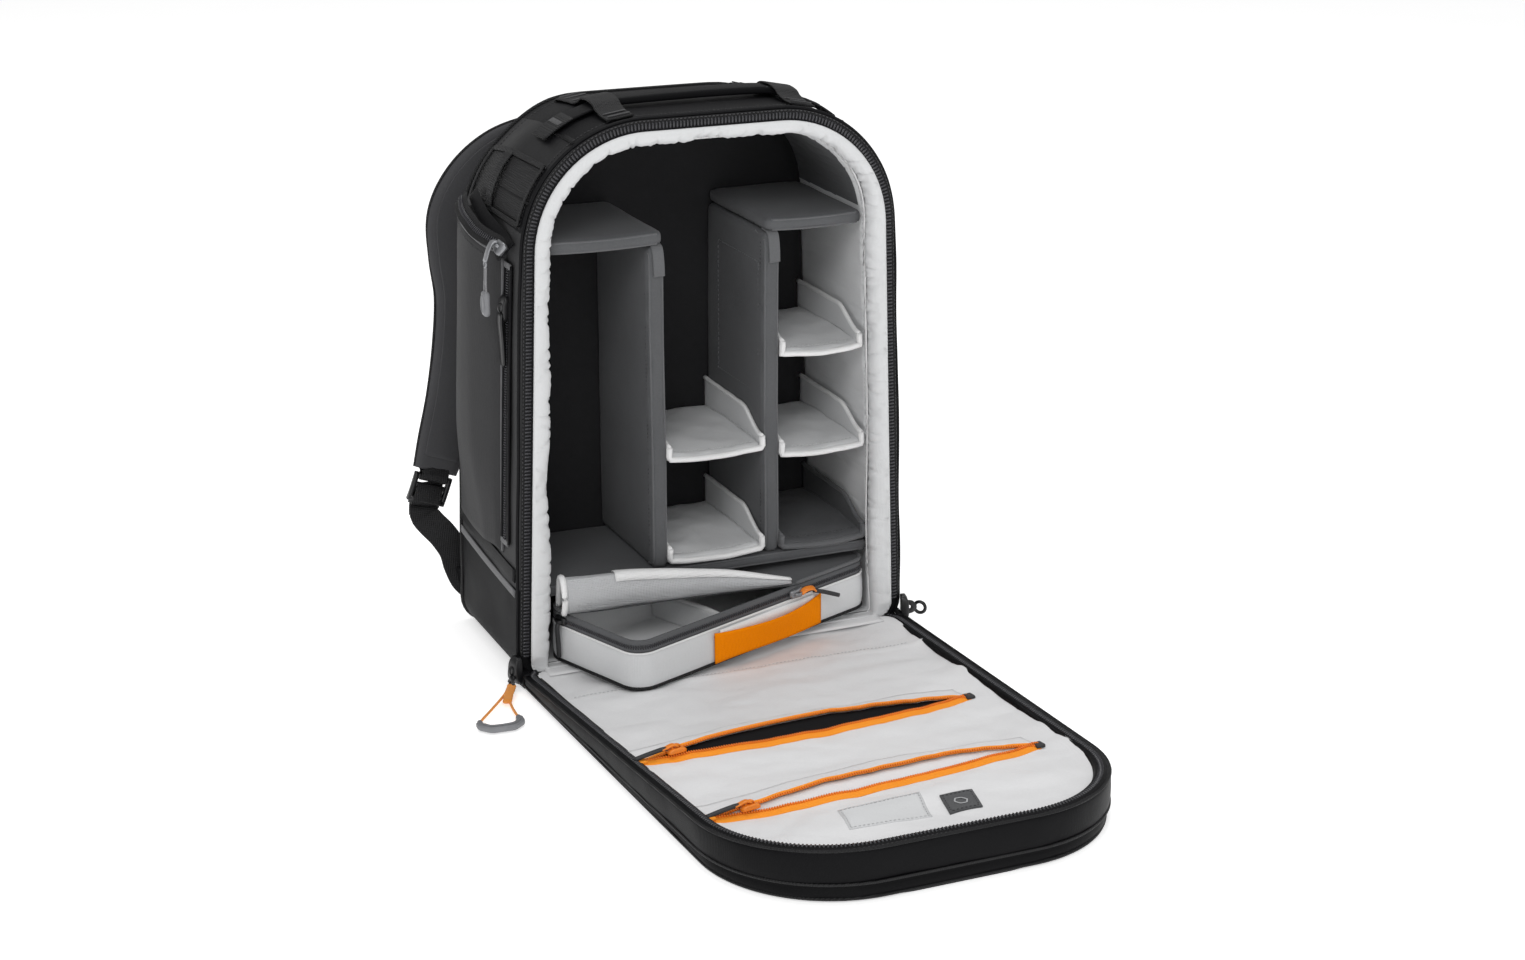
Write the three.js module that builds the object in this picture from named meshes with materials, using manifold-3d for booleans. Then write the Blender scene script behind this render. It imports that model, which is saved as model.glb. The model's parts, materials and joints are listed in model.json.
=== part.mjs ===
// Camera backpack standing on its base with its front flap unzipped and laid on the floor.
// Millimetres, +Z up, +X to the wearer's left when seen from the front, the flap opens towards -Y.
// The origin is the middle of the base's underside.
import * as THREE from "three";
import { mergeVertices } from "three/addons/utils/BufferGeometryUtils.js";
import Module from "manifold-3d";

const wasm = await Module();
wasm.setup();

// ---------- driving dimensions ----------
const GAP = 0.3; // left between pieces that touch
const HALF_LOW = 172.3; // half the body's width at the floor
const HALF_TOP = 156; // the same at the top, where the slanting sides would reach it
const TOP_Z = 455;
const FRONT_Y = -75; // plane where the body's zip meets the flap's zip
const BACK_Y = 76.7; // back edge of the body's side walls
const CORNER_R = 102; // big top corners
const FOOT_R = 25; // small bottom corners
const WALL = 12; // padded side and top walls
const LINER = 10; // quilted liner inside them
const BASE_WALL = 6;
const HINGE_Z = 12; // height of the flap's fabric hinge
const FLAP_RISE = THREE.MathUtils.degToRad(3.7); // slope of the open flap's inner face
const FLAP_OPEN = Math.PI / 2 - FLAP_RISE; // turn from closed to open
const SHELF_FRONT = -62;
const SHELF_BACK = 62;
const POUCH_YAW = THREE.MathUtils.degToRad(20.6);
const POUCH_TILT = THREE.MathUtils.degToRad(1); // its left end rests lower, on the open flap
const LID_OPEN = THREE.MathUtils.degToRad(178); // the loose part of its lid lies folded back

const SLANT = Math.atan((HALF_LOW - HALF_TOP) / TOP_Z);

// ---------- materials ----------
const paint = (color, roughness, metalness = 0) =>
  new THREE.MeshStandardMaterial({ color, roughness, metalness });
const shellBlack = paint(0x1d1d1f, 0.75);
const shellGrey = paint(0x454547, 0.8);
const liningPale = paint(0xdfe0e1, 0.85);
const dividerGrey = paint(0x58595b, 0.85);
const zipBlack = paint(0x121213, 0.5);
const zipOrange = paint(0xf28a2e, 0.6);
const webBlack = paint(0x161617, 0.7);
const plasticBlack = paint(0x0e0e0f, 0.4);
const plasticGrey = paint(0x7c7d80, 0.5);
const meshBlack = paint(0x242426, 0.95);
const boardBlack = paint(0x202020, 0.6);
const stayMetal = paint(0xb5b8bb, 0.35, 0.9);

const bag = new THREE.Group();

function add(name, geometry, material, parent = bag) {
  const mesh = new THREE.Mesh(geometry, material);
  mesh.name = name;
  parent.add(mesh);
  return mesh;
}

// ---------- the body's outline, seen from the front ----------
const xAt = (z) => HALF_LOW - Math.tan(SLANT) * z;
const topCentreX = xAt(TOP_Z - CORNER_R) - CORNER_R / Math.cos(SLANT);
const footCentreX = xAt(FOOT_R) - FOOT_R / Math.cos(SLANT);

function arc(cx, cz, r, a0, a1, steps) {
  return Array.from({ length: steps + 1 }, (_, i) => {
    const a = a0 + ((a1 - a0) * i) / steps;
    return new THREE.Vector2(cx + r * Math.cos(a), cz + r * Math.sin(a));
  });
}

// Over the top from the left side's upper end to the right side's, at an inset from the outer face.
function archPath(inset, steps = 8) {
  const r = CORNER_R - inset;
  const cz = TOP_Z - CORNER_R;
  return [
    ...arc(-topCentreX, cz, r, Math.PI - SLANT, Math.PI / 2, steps),
    ...arc(topCentreX, cz, r, Math.PI / 2, SLANT, steps),
  ];
}

// Under the base from the right foot to the left foot.
function footPath(inset, steps = 4) {
  const r = Math.max(FOOT_R - inset, 0.5);
  return [
    ...arc(footCentreX, FOOT_R, r, SLANT, -Math.PI / 2, steps),
    ...arc(-footCentreX, FOOT_R, r, -Math.PI / 2, -Math.PI - SLANT, steps),
  ];
}

const wholeOutline = (inset) => [...archPath(inset), ...footPath(inset)];

// The part of the outline above a height, from the left foot over the top to the right foot.
function outlineAbove(inset, zCut) {
  const r = FOOT_R - inset;
  const low = Math.asin(Math.max(-1, (zCut - FOOT_R) / r));
  return [
    ...arc(-footCentreX, FOOT_R, r, Math.PI - low, Math.PI - SLANT, 3),
    ...archPath(inset),
    ...arc(footCentreX, FOOT_R, r, SLANT, low, 3),
  ];
}

const loop = (points) =>
  new THREE.Shape(THREE.ShapeUtils.area(points) < 0 ? points.slice().reverse() : points);
const band = (outer, inner) => loop([...outer, ...inner.slice().reverse()]);

// A shape drawn in X and Z, made solid from y0 to y1.
function slabY(shape, y0, y1, bevel = 0) {
  const g = new THREE.ExtrudeGeometry(shape, {
    depth: y1 - y0 - 2 * bevel,
    bevelEnabled: bevel > 0,
    bevelThickness: bevel,
    bevelSize: bevel,
    bevelOffset: -bevel,
    bevelSegments: 2,
    curveSegments: 3,
  });
  return g.rotateX(Math.PI / 2).translate(0, y1 - bevel, 0);
}

// A shape drawn in X and Y, made solid from z0 to z1.
const slabZ = (shape, z0, z1) =>
  new THREE.ExtrudeGeometry(shape, { depth: z1 - z0, bevelEnabled: false, curveSegments: 4 })
    .translate(0, 0, z0);

function roundedRect(x0, y0, x1, y1, r) {
  const s = new THREE.Shape();
  s.moveTo(x0 + r, y0).lineTo(x1 - r, y0);
  s.absarc(x1 - r, y0 + r, r, -Math.PI / 2, 0, false);
  s.lineTo(x1, y1 - r).absarc(x1 - r, y1 - r, r, 0, Math.PI / 2, false);
  s.lineTo(x0 + r, y1).absarc(x0 + r, y1 - r, r, Math.PI / 2, Math.PI, false);
  s.lineTo(x0, y0 + r).absarc(x0 + r, y0 + r, r, Math.PI, 1.5 * Math.PI, false);
  return s;
}

const block = (x0, x1, y0, y1, z0, z1) =>
  new THREE.BoxGeometry(x1 - x0, y1 - y0, z1 - z0)
    .translate((x0 + x1) / 2, (y0 + y1) / 2, (z0 + z1) / 2);

// ---------- booleans ----------
function solid(geometry) {
  const g = geometry.index ? geometry.toNonIndexed() : geometry.clone();
  for (const key of Object.keys(g.attributes)) if (key !== "position") g.deleteAttribute(key);
  const merged = mergeVertices(g, 1e-4);
  return new wasm.Manifold(new wasm.Mesh({
    numProp: 3,
    vertProperties: merged.attributes.position.array,
    triVerts: new Uint32Array(merged.index.array),
  }));
}

function toGeometry(manifold) {
  const mesh = manifold.getMesh();
  const g = new THREE.BufferGeometry();
  g.setAttribute("position", new THREE.BufferAttribute(new Float32Array(mesh.vertProperties), 3));
  g.setIndex(new THREE.BufferAttribute(new Uint32Array(mesh.triVerts), 1));
  g.computeVertexNormals();
  return g;
}

const cut = (a, ...others) => toGeometry(others.reduce((s, o) => s.subtract(solid(o)), solid(a)));
const join = (a, ...others) => toGeometry(others.reduce((s, o) => s.add(solid(o)), solid(a)));
const keep = (a, b) => toGeometry(solid(a).intersect(solid(b)));

// ---------- lofts: straps and webbing ----------
// Joins rings of points, all of one length, into a closed solid with flat ends.
function loft(rings) {
  const n = rings[0].length;
  const points = rings.flat();
  const index = [];
  for (let k = 0; k + 1 < rings.length; k++) {
    for (let i = 0; i < n; i++) {
      const a = k * n + i;
      const b = k * n + ((i + 1) % n);
      index.push(a, b, b + n, a, b + n, a + n);
    }
  }
  const last = (rings.length - 1) * n;
  for (let i = 1; i + 1 < n; i++) {
    index.push(0, i + 1, i);
    index.push(last, last + i, last + i + 1);
  }
  const g = new THREE.BufferGeometry().setFromPoints(points).setIndex(index);
  return solid(g).volume() < 0 ? flip(g) : g;
}

function flip(g) {
  const t = g.index.array;
  for (let i = 0; i < t.length; i += 3) [t[i + 1], t[i + 2]] = [t[i + 2], t[i + 1]];
  return g;
}

// A flat strap along a smooth line. Each station is [x, y, z, width, thickness]; the strap's face
// is turned towards `facing`.
function strap(stations, facing, steps, chamfer) {
  const at = (k) => new THREE.CatmullRomCurve3(
    stations.map((s) => new THREE.Vector3(...k(s))), false, "centripetal");
  const line = at((s) => s.slice(0, 3));
  const size = at((s) => [s[3], s[4], 0]);
  return loft(Array.from({ length: steps + 1 }, (_, i) => {
    const t = i / steps;
    const centre = line.getPoint(t);
    const across = line.getTangent(t).cross(facing).normalize();
    const out = across.clone().cross(line.getTangent(t)).normalize();
    const a = size.getPoint(t).x / 2;
    const b = size.getPoint(t).y / 2;
    const c = Math.min(chamfer, b * 0.8);
    const corners = chamfer
      ? [[a, b - c], [a - c, b], [c - a, b], [-a, b - c], [-a, c - b], [c - a, -b], [a - c, -b], [a, c - b]]
      : [[a, b], [-a, b], [-a, -b], [a, -b]];
    return corners.map(([u, v]) =>
      centre.clone().addScaledVector(across, u).addScaledVector(out, v));
  }));
}

// ---------- body walls, liner and back ----------
function sideWall(side, inset0, inset1) {
  const normal = new THREE.Vector2(Math.cos(SLANT), Math.sin(SLANT));
  const along = new THREE.Vector2(-Math.sin(SLANT), Math.cos(SLANT));
  const low = new THREE.Vector2(footCentreX, FOOT_R).addScaledVector(along, GAP / 2);
  const high = new THREE.Vector2(topCentreX, TOP_Z - CORNER_R).addScaledVector(along, -GAP / 2);
  const corner = (base, radius, inset) =>
    base.clone().addScaledVector(normal, radius - inset);
  return loop([
    corner(low, FOOT_R, inset0), corner(high, CORNER_R, inset0),
    corner(high, CORNER_R, inset1), corner(low, FOOT_R, inset1),
  ].map((p) => new THREE.Vector2(side * p.x, p.y)));
}

function buildBody() {
  const front = FRONT_Y + 3;
  for (const [name, side] of [["left", -1], ["right", 1]]) {
    add(`side_panel_${name}`, slabY(sideWall(side, 0, WALL), front, BACK_Y), shellGrey);
  }
  add("top_panel", slabY(band(archPath(0), archPath(WALL)), front, BACK_Y), shellBlack);
  add("base_panel", slabY(band(footPath(0), footPath(BASE_WALL)), front, BACK_Y), shellBlack);

  const linerOut = WALL + GAP;
  const linerIn = WALL + LINER;
  const ringOuter = [...archPath(linerOut), ...linerFoot(BASE_WALL + GAP)];
  const ringInner = [...archPath(linerIn), ...linerFoot(HINGE_Z)];
  const ring = loop(ringOuter);
  ring.holes.push(new THREE.Path(ringInner));
  add("liner_wall", slabY(ring, FRONT_Y + 1, 64.7), liningPale);
  add("liner_back", slabY(loop(wholeOutline(linerOut)), 65, 71), dividerGrey);
  add("frame_sheet", slabY(loop(wholeOutline(linerOut)), 71.3, 73.3), boardBlack);
  add("frame_stay", slabY(stayShape(), 73.6, 76.7), stayMetal);
  add("back_panel", slabY(loop(wholeOutline(0)), 77, 86), shellBlack);
  add("back_pad", slabY(roundedRect(-122, 44, 122, 392, 40), 86.3, 104, 5), meshBlack);

  const foot = (side, inset) => new THREE.Vector2(side * (xAt(FOOT_R) - inset), FOOT_R);
  const edge = (inset) => [foot(-1, inset), ...archPath(inset), foot(1, inset)];
  add("body_zip_track", slabY(band(edge(0.6), edge(11.5)), FRONT_Y, FRONT_Y + 2.7), zipBlack);
  add("hinge_gusset", block(-150, 150, FRONT_Y + GAP, FRONT_Y + 3 - GAP, 0.8, 6), shellBlack);
}

// The liner's underside is flatter than the walls' outline, with square corners at its feet.
function linerFoot(z) {
  const x = xAt(FOOT_R) - WALL - (z > BASE_WALL + 1 ? LINER : GAP);
  return [
    new THREE.Vector2(x, FOOT_R), new THREE.Vector2(x - 14, z),
    new THREE.Vector2(14 - x, z), new THREE.Vector2(-x, FOOT_R),
  ];
}

// One flat aluminium bar bent into an upside-down U behind the frame sheet.
function stayShape() {
  const [x, low, high, w] = [78, 45, 425, 18];
  return loop([
    [-x, low], [-x, high], [x, high], [x, low], [x - w, low], [x - w, high - w],
    [w - x, high - w], [w - x, low],
  ].map(([a, b]) => new THREE.Vector2(a, b)));
}

// ---------- side pockets and their zips ----------
// A frame on the slanting side wall: local -X points outwards, local Z runs up the wall.
function sideFrame(side) {
  const mirror = new THREE.Group();
  mirror.scale.x = -side;
  const frame = new THREE.Group();
  frame.position.x = -HALF_LOW;
  frame.rotation.y = SLANT;
  mirror.add(frame);
  bag.add(mirror);
  return frame;
}

function pocketProfile(frontY) {
  const s = new THREE.Shape();
  s.moveTo(-GAP, frontY);
  s.lineTo(-5, frontY);
  s.quadraticCurveTo(-19, -20, -19, 18);
  s.quadraticCurveTo(-19, 55, -3, 66);
  s.lineTo(-GAP, 66);
  return s;
}

const POCKET_LOW = 106;
const POCKET_HIGH = 364;
const SIDE_ZIP_Y = -47;

function buildSides() {
  const left = sideFrame(-1);
  const right = sideFrame(1);
  add("side_pocket_left", slabZ(pocketProfile(-40.5), POCKET_LOW, POCKET_HIGH), shellGrey, left);
  add("side_pocket_right", slabZ(pocketProfile(-52), POCKET_LOW, POCKET_HIGH), shellGrey, right);
  add("side_zip_top", block(-13, -GAP, -60, 58, POCKET_HIGH + GAP, POCKET_HIGH + 9), shellGrey, left);
  add("side_zip_front", block(-3.2, -GAP, SIDE_ZIP_Y - 6, SIDE_ZIP_Y + 6, 118, 342), zipBlack, left);

  // sliders with their pulls
  const topZ = POCKET_HIGH + 4.5;
  add("side_slider_top", join(
    block(-18.5, -13 - GAP, -60, -47, topZ - 4.5, topZ + 4.5),
    block(-23.5, -17.5, -57, -50, topZ - 3.5, topZ - 0.5),
    block(-23.5, -21, -57, -50, topZ - 20, topZ - 0.5),
  ), plasticGrey, left);
  const toggle = slabX(roundedRect(-58.5, 306, -48.5, 326, 3), -185.6, -180.6);
  add("side_pull_cord", cordTube(sideRoute, SIDE_CORD_D), plasticGrey);
  add("side_pull_toggle", cut(toggle, cordTube(sideRoute, SIDE_CORD_D + 0.8)), plasticGrey);
  add("side_slider_front", join(
    block(-9, -3.2 - GAP, SIDE_ZIP_Y - 4.5, SIDE_ZIP_Y + 4.5, 300, 318),
    block(-8, -5, SIDE_ZIP_Y - 4, SIDE_ZIP_Y + 4, 262, 304),
  ), plasticBlack, left);
  return left;
}

// A shape drawn in Y and Z, made solid from x0 to x1.
const slabX = (shape, x0, x1) =>
  new THREE.ExtrudeGeometry(shape, { depth: x1 - x0, bevelEnabled: false, curveSegments: 3 })
    .rotateY(Math.PI / 2).rotateX(Math.PI / 2).translate(x0, 0, 0);

// ---------- main zip sliders ----------
const SLIDER_Z = 16;

function mainSlider(y) {
  return join(
    block(-8, -1, y - 6, y + 6, SLIDER_Z - 10, SLIDER_Z + 10),
    block(-11, -7, y - 3.5, y + 3.5, SLIDER_Z - 7, SLIDER_Z + 7),
  );
}

// The thin pull cord: out of the slider's eye, through the grip and back to the eye.
const PULL_CORD_D = 2.2;
const pullRoute = [
  [-183, -86, 8.5], [-186.5, -90.5, 7], [-193, -98.5, 5.2], [-202, -109, 4.3],
  [-212, -121, 3.9], [-221, -132, 3.8], [-226.2, -139.6, 3.8], [-227.2, -145.5, 3.8],
  [-221.5, -152.3, 3.8], [-212, -154.5, 3.8], [-202.5, -153.5, 3.8], [-196, -148.5, 3.8],
  [-194.4, -141, 3.8], [-193.8, -131, 3.8], [-192.6, -119, 3.8], [-190.8, -108, 4],
  [-187.6, -98.5, 4.6], [-184.6, -92, 5.6], [-181.2, -88.6, 6.9],
];

// The side pocket's pull cord: down from its slider, round inside the toggle and up again.
const SIDE_CORD_D = 1.5;
const sideRoute = [
  [-182.4, -55.1, 347], [-182.6, -55.2, 341], [-182.9, -55.3, 335], [-183.1, -55.8, 329],
  [-183.1, -56.4, 323], [-183.1, -56.5, 317], [-183.1, -55.6, 313.6], [-183.1, -53.5, 312.2],
  [-183.1, -51.4, 313.6], [-183.1, -50.5, 317], [-183.1, -50.6, 323], [-183.1, -51.2, 329],
  [-182.9, -51.7, 335], [-182.6, -51.8, 341], [-182.4, -51.9, 347],
];

function cordTube(route, diameter) {
  const curve = new THREE.CatmullRomCurve3(
    route.map((p) => new THREE.Vector3(...p)), false, "centripetal");
  const section = loop(arc(0, 0, diameter / 2, 0, 2 * Math.PI * (7 / 8), 7));
  return new THREE.ExtrudeGeometry(section, {
    steps: 3 * (route.length - 1), bevelEnabled: false, extrudePath: curve,
  });
}

// A shallow moulded hook that the cord's two ends run into.
function gripGeometry() {
  const outer = [
    [-231, -141], [-222, -141], [-217.5, -148], [-205.5, -149.5], [-199, -143], [-190, -143],
    [-190, -151], [-200, -159.5], [-221, -159], [-231.5, -148.5],
  ];
  const hook = slabZ(loop(outer.map(([x, y]) => new THREE.Vector2(x, y))), 0.2, 7.4);
  return cut(hook, cordTube(pullRoute, PULL_CORD_D + 1));
}

function buildMainZips(left) {
  const y = FRONT_Y + 1;
  add("main_slider_left", join(mainSlider(y),
    block(-10.5, -2, y - 13, y - 5, SLIDER_Z - 6, SLIDER_Z - 1)), plasticBlack, left);
  add("pull_cord_left", cordTube(pullRoute, PULL_CORD_D), zipOrange);
  add("pull_grip_left", gripGeometry(), plasticGrey);
  const right = sideFrame(1);
  add("main_slider_right", mainSlider(y), plasticBlack, right);
  const ring = new THREE.TorusGeometry(6, 1.5, 6, 14).rotateY(Math.PI / 2)
    .rotateZ(Math.PI / 4).translate(-18, y - 3, SLIDER_Z - 1);
  add("pull_ring_right", ring, plasticBlack, right);
}

// ---------- dividers ----------
const DIVIDERS = { divider_left: [-50, -37, 350], divider_right: [50, 63, 352] };
const FLOOR_TOP = 78; // top of the compartment's padded floor

// A padded shelf with hook-and-loop tabs turned up at both ends.
function tabbedShelf(x0, x1, z, thickness, tab) {
  return loop([
    [x0, z], [x1, z], [x1, z + tab], [x1 - 2.4, z + tab], [x1 - 2.4, z + thickness],
    [x0 + 2.4, z + thickness], [x0 + 2.4, z + tab], [x0, z + tab],
  ].map(([a, b]) => new THREE.Vector2(a, b)));
}

function buildDividers() {
  const wallX = (z) => xAt(z) - WALL - LINER;
  const depth = [SHELF_FRONT, SHELF_BACK];
  for (const [name, [x0, x1, top]] of Object.entries(DIVIDERS)) {
    add(name, slabY(roundedRect(x0, FLOOR_TOP + GAP, x1, top, 5), ...depth), dividerGrey);
  }
  const floorX = wallX(FLOOR_TOP) - GAP;
  add("base_shelf", slabY(roundedRect(-floorX, 68, floorX, FLOOR_TOP, 4), ...depth), dividerGrey);

  // top shelves rest on the long dividers' upper ends
  const topX = wallX(366) - 1;
  add("shelf_top_left", slabY(roundedRect(-topX, 351, -38, 362, 4.5), ...depth), dividerGrey);
  add("shelf_top_right", slabY(roundedRect(51, 353, topX, 364, 4.5), ...depth), dividerGrey);

  const inMiddle = [DIVIDERS.divider_left[1] + GAP, DIVIDERS.divider_right[0] - GAP];
  const inRight = (z) => [DIVIDERS.divider_right[1] + GAP, wallX(z) - 1.5];
  const [tab, thick] = [26, 7];
  add("shelf_mid_upper", slabY(tabbedShelf(...inMiddle, 170, thick, tab), ...depth), liningPale);
  add("shelf_mid_lower", slabY(tabbedShelf(...inMiddle, 82, thick, tab), ...depth), liningPale);
  add("shelf_right_upper", slabY(tabbedShelf(...inRight(330), 248, thick, tab), ...depth), liningPale);
  add("shelf_right_mid", slabY(tabbedShelf(...inRight(240), 162, thick, tab), ...depth), liningPale);
  add("shelf_right_low", slabY(tabbedShelf(...inRight(150), 80, 9, tab), ...depth), dividerGrey);
}

// ---------- top handle ----------
const HANDLE_Y = -18;
const LOOPS = { handle_loop_left: -74, handle_loop_right: 80 };

const roofAt = (x) => {
  const dx = Math.abs(x) - topCentreX;
  return dx > 0 ? TOP_Z - CORNER_R + Math.sqrt(CORNER_R ** 2 - dx ** 2) : TOP_Z;
};

function buildHandle() {
  const ends = 112;
  const lift = (x) => 3.2 + 5.5 * (1 - (x / ends) ** 2);
  const stations = Array.from({ length: 11 }, (_, i) => {
    const x = -ends + (2 * ends * i) / 10;
    return [x, HANDLE_Y, roofAt(x) + lift(x), 24, 4.6];
  });
  add("top_handle", strap(stations, new THREE.Vector3(0, 0, 1), 20, 1.6), shellBlack);
  for (const [name, x] of Object.entries(LOOPS)) {
    const z = Math.max(roofAt(x - 11), roofAt(x + 11)) + 1.7;
    const path = [[-70, z], [-50, z], [-38, z + 5], [-32, z + 9.5], [-18, z + 11.5], [-4, z + 9.5],
      [2, z + 5], [14, z], [40, z], [68, z]];
    add(name, strap(path.map(([y, h]) => [x, y, h, 22, 1.8]), new THREE.Vector3(0, 0, 1), 20, 0),
      webBlack);
  }
}

// ---------- shoulder straps ----------
const strapStations = [
  [62, 93.6, 424, 58, 12], [84, 106, 418, 60, 13], [110, 120, 402, 62, 14], [131, 129, 377, 62, 15],
  [143, 132, 346, 62, 15], [143, 131, 312, 60, 15], [141, 129, 276, 58, 15], [147, 125, 234, 55, 14],
  [158, 120, 191, 50, 13], [172, 115, 152, 44, 12], [181, 112, 128, 38, 9],
];
const webStations = [
  [192.2, 110.5, 98, 25, 1.8], [193, 109, 91, 25, 1.8], [188, 105, 83, 25, 1.8],
  [179, 100, 73, 25, 1.8], [171, 98, 60, 25, 1.8], [168, 97, 46, 25, 1.8], [163, 94, 32, 25, 1.8], [152, 89, 22, 25, 1.8],
];

function buildStraps() {
  for (const [name, side] of [["left", -1], ["right", 1]]) {
    const mirrored = (list) => list.map(([x, ...rest]) => [side * x, ...rest]);
    const back = new THREE.Vector3(0, 1, 0);
    add(`shoulder_strap_${name}`, strap(mirrored(strapStations), back, 20, 4), shellGrey);
    add(`lower_webbing_${name}`, strap(mirrored(webStations), back, 16, 0), webBlack);
    const lock = roundedRect(-17, -13, 17, 12, 3);
    for (const z of [-8.5, 1.5]) {
      lock.holes.push(new THREE.Path(roundedRect(-13, z, 13, z + 5, 1).getPoints(2)));
    }
    const mesh = add(`ladder_lock_${name}`, slabY(lock, -2.5, 2.5), plasticBlack);
    mesh.position.set(side * 186.5, 110.5, 113.5);
    mesh.rotation.y = side * -0.34;
  }
}

// ---------- front flap, drawn closed and swung open about its hinge ----------
const flap = new THREE.Group();
flap.position.set(0, FRONT_Y, HINGE_Z);
flap.rotation.x = FLAP_OPEN;
bag.add(flap);

const FLAP_START = 1.5; // the flap's solids begin this far from the hinge line
const FRONT_SHEET = 4;
const LINING_SINK = 4.8; // how far the lining sits below the zip's plane
const FLAP_ZIPS = { upper: [212, 141], lower: [331, 136] }; // height over the hinge, half length
const ZIP_TURN = THREE.MathUtils.degToRad(3.6);
const flapOutline = (inset) =>
  outlineAbove(inset, HINGE_Z + FLAP_START).map((p) => new THREE.Vector2(p.x, p.y - HINGE_Z));

// The slab of space between two heights over the floor, in the flap's own frame.
function overFloor(low, high) {
  const g = block(-300, 300, -600, 100, low, high);
  return g.translate(0, -FRONT_Y, -HINGE_Z).rotateX(-FLAP_OPEN);
}

const flapEdge = (inset0, inset1) => band(flapOutline(inset0), flapOutline(inset1));

function buildFlap() {
  const deep = 60;
  add("flap_front", keep(slabY(loop(flapOutline(0)), -deep, 0), overFloor(0, FRONT_SHEET)),
    shellBlack, flap);
  const above = overFloor(FRONT_SHEET + GAP, 100);
  add("flap_gusset", keep(slabY(flapEdge(0, 7), -deep, -3.6), above), shellBlack, flap);
  const core = outlineAbove(7 + GAP, HINGE_Z + 16).map((p) => new THREE.Vector2(p.x, p.y - HINGE_Z));
  const lined = -LINING_SINK - 3;
  add("flap_core", keep(slabY(loop(core), -deep, lined - GAP), above), boardBlack, flap);
  add("flap_zip_track", slabY(flapEdge(0.4, 9), -3.3, -GAP), zipBlack, flap);
  add("flap_lining", slabY(loop(flapOutline(9 + GAP)), lined, -LINING_SINK), liningPale, flap);

  for (const [name, [z, half]] of Object.entries(FLAP_ZIPS)) {
    const frame = new THREE.Group();
    frame.position.set(-11, GAP - LINING_SINK, z);
    frame.rotation.y = ZIP_TURN;
    flap.add(frame);
    add(`flap_zip_${name}`, block(-half, half, 0, 1.9, -5, 5), zipOrange, frame);
    add(`flap_slider_${name}`, join(
      block(14 - half, 28 - half, 2.2, 5, -4.5, 4.5),
      block(2 - half, 15 - half, 2.6, 4.6, -2, 2),
    ), zipOrange, frame);
  }
  const patch = roundedRect(6, 376, 38, 408, 2);
  add("label_patch", slabY(patch, GAP - LINING_SINK, 1.5 - LINING_SINK), dividerGrey, flap);
}

// ---------- removable pouch ----------
const POUCH = { length: 264, depth: 114, z0: 18.8, wallTop: 50, rimTop: 60.6, r: 22, wall: 3 };
const pouch = new THREE.Group();
pouch.position.set(147.5, FRONT_Y + 11, 0);
pouch.rotation.set(0, -POUCH_TILT, POUCH_YAW, "ZYX");
bag.add(pouch);

function pouchRect(inset) {
  return roundedRect(-POUCH.length + inset, inset, -inset, POUCH.depth - inset, POUCH.r - inset);
}

// The lid is split along a fold from the left end to the zip slider on the front.
const FOLD_BACK = [-262, 84];
const FOLD_FRONT = [-92, 2];

function halfPlane(sign, gap) {
  const [ax, ay] = FOLD_BACK;
  const [bx, by] = FOLD_FRONT;
  const d = new THREE.Vector2(bx - ax, by - ay).normalize();
  const n = new THREE.Vector2(-d.y, d.x).multiplyScalar(sign);
  const at = (t, s) => new THREE.Vector2(ax, ay).addScaledVector(d, t).addScaledVector(n, s);
  return slabZ(loop([at(-200, gap), at(600, gap), at(600, 400), at(-200, 400)]), 0, 200);
}

// The springy curl beside the fold, drawn in the closed lid, where it hangs below the lid's plane.
function foldCurl(z) {
  const from = new THREE.Vector2(...FOLD_BACK);
  const along = new THREE.Vector2(...FOLD_FRONT).sub(from);
  const length = along.length();
  along.normalize();
  const inward = new THREE.Vector2(along.y, -along.x);
  return loft([6, 0.35 * length, 0.7 * length, length - 12].map((t) => {
    const left = 1 - t / length;
    const deep = 5 + 21 * left;
    const wide = 6 + 6 * left;
    const foot = from.clone().addScaledVector(along, t).addScaledVector(inward, 1.2);
    const profile = [[0, 0.6], [wide, 0.6], [wide, -0.5 * deep], [0.75 * wide, -0.9 * deep],
      [0.5 * wide, -deep], [0.25 * wide, -0.9 * deep], [0, -0.5 * deep]];
    return profile.map(([s, h]) =>
      new THREE.Vector3(foot.x + inward.x * s, foot.y + inward.y * s, z + h));
  }));
}

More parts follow.
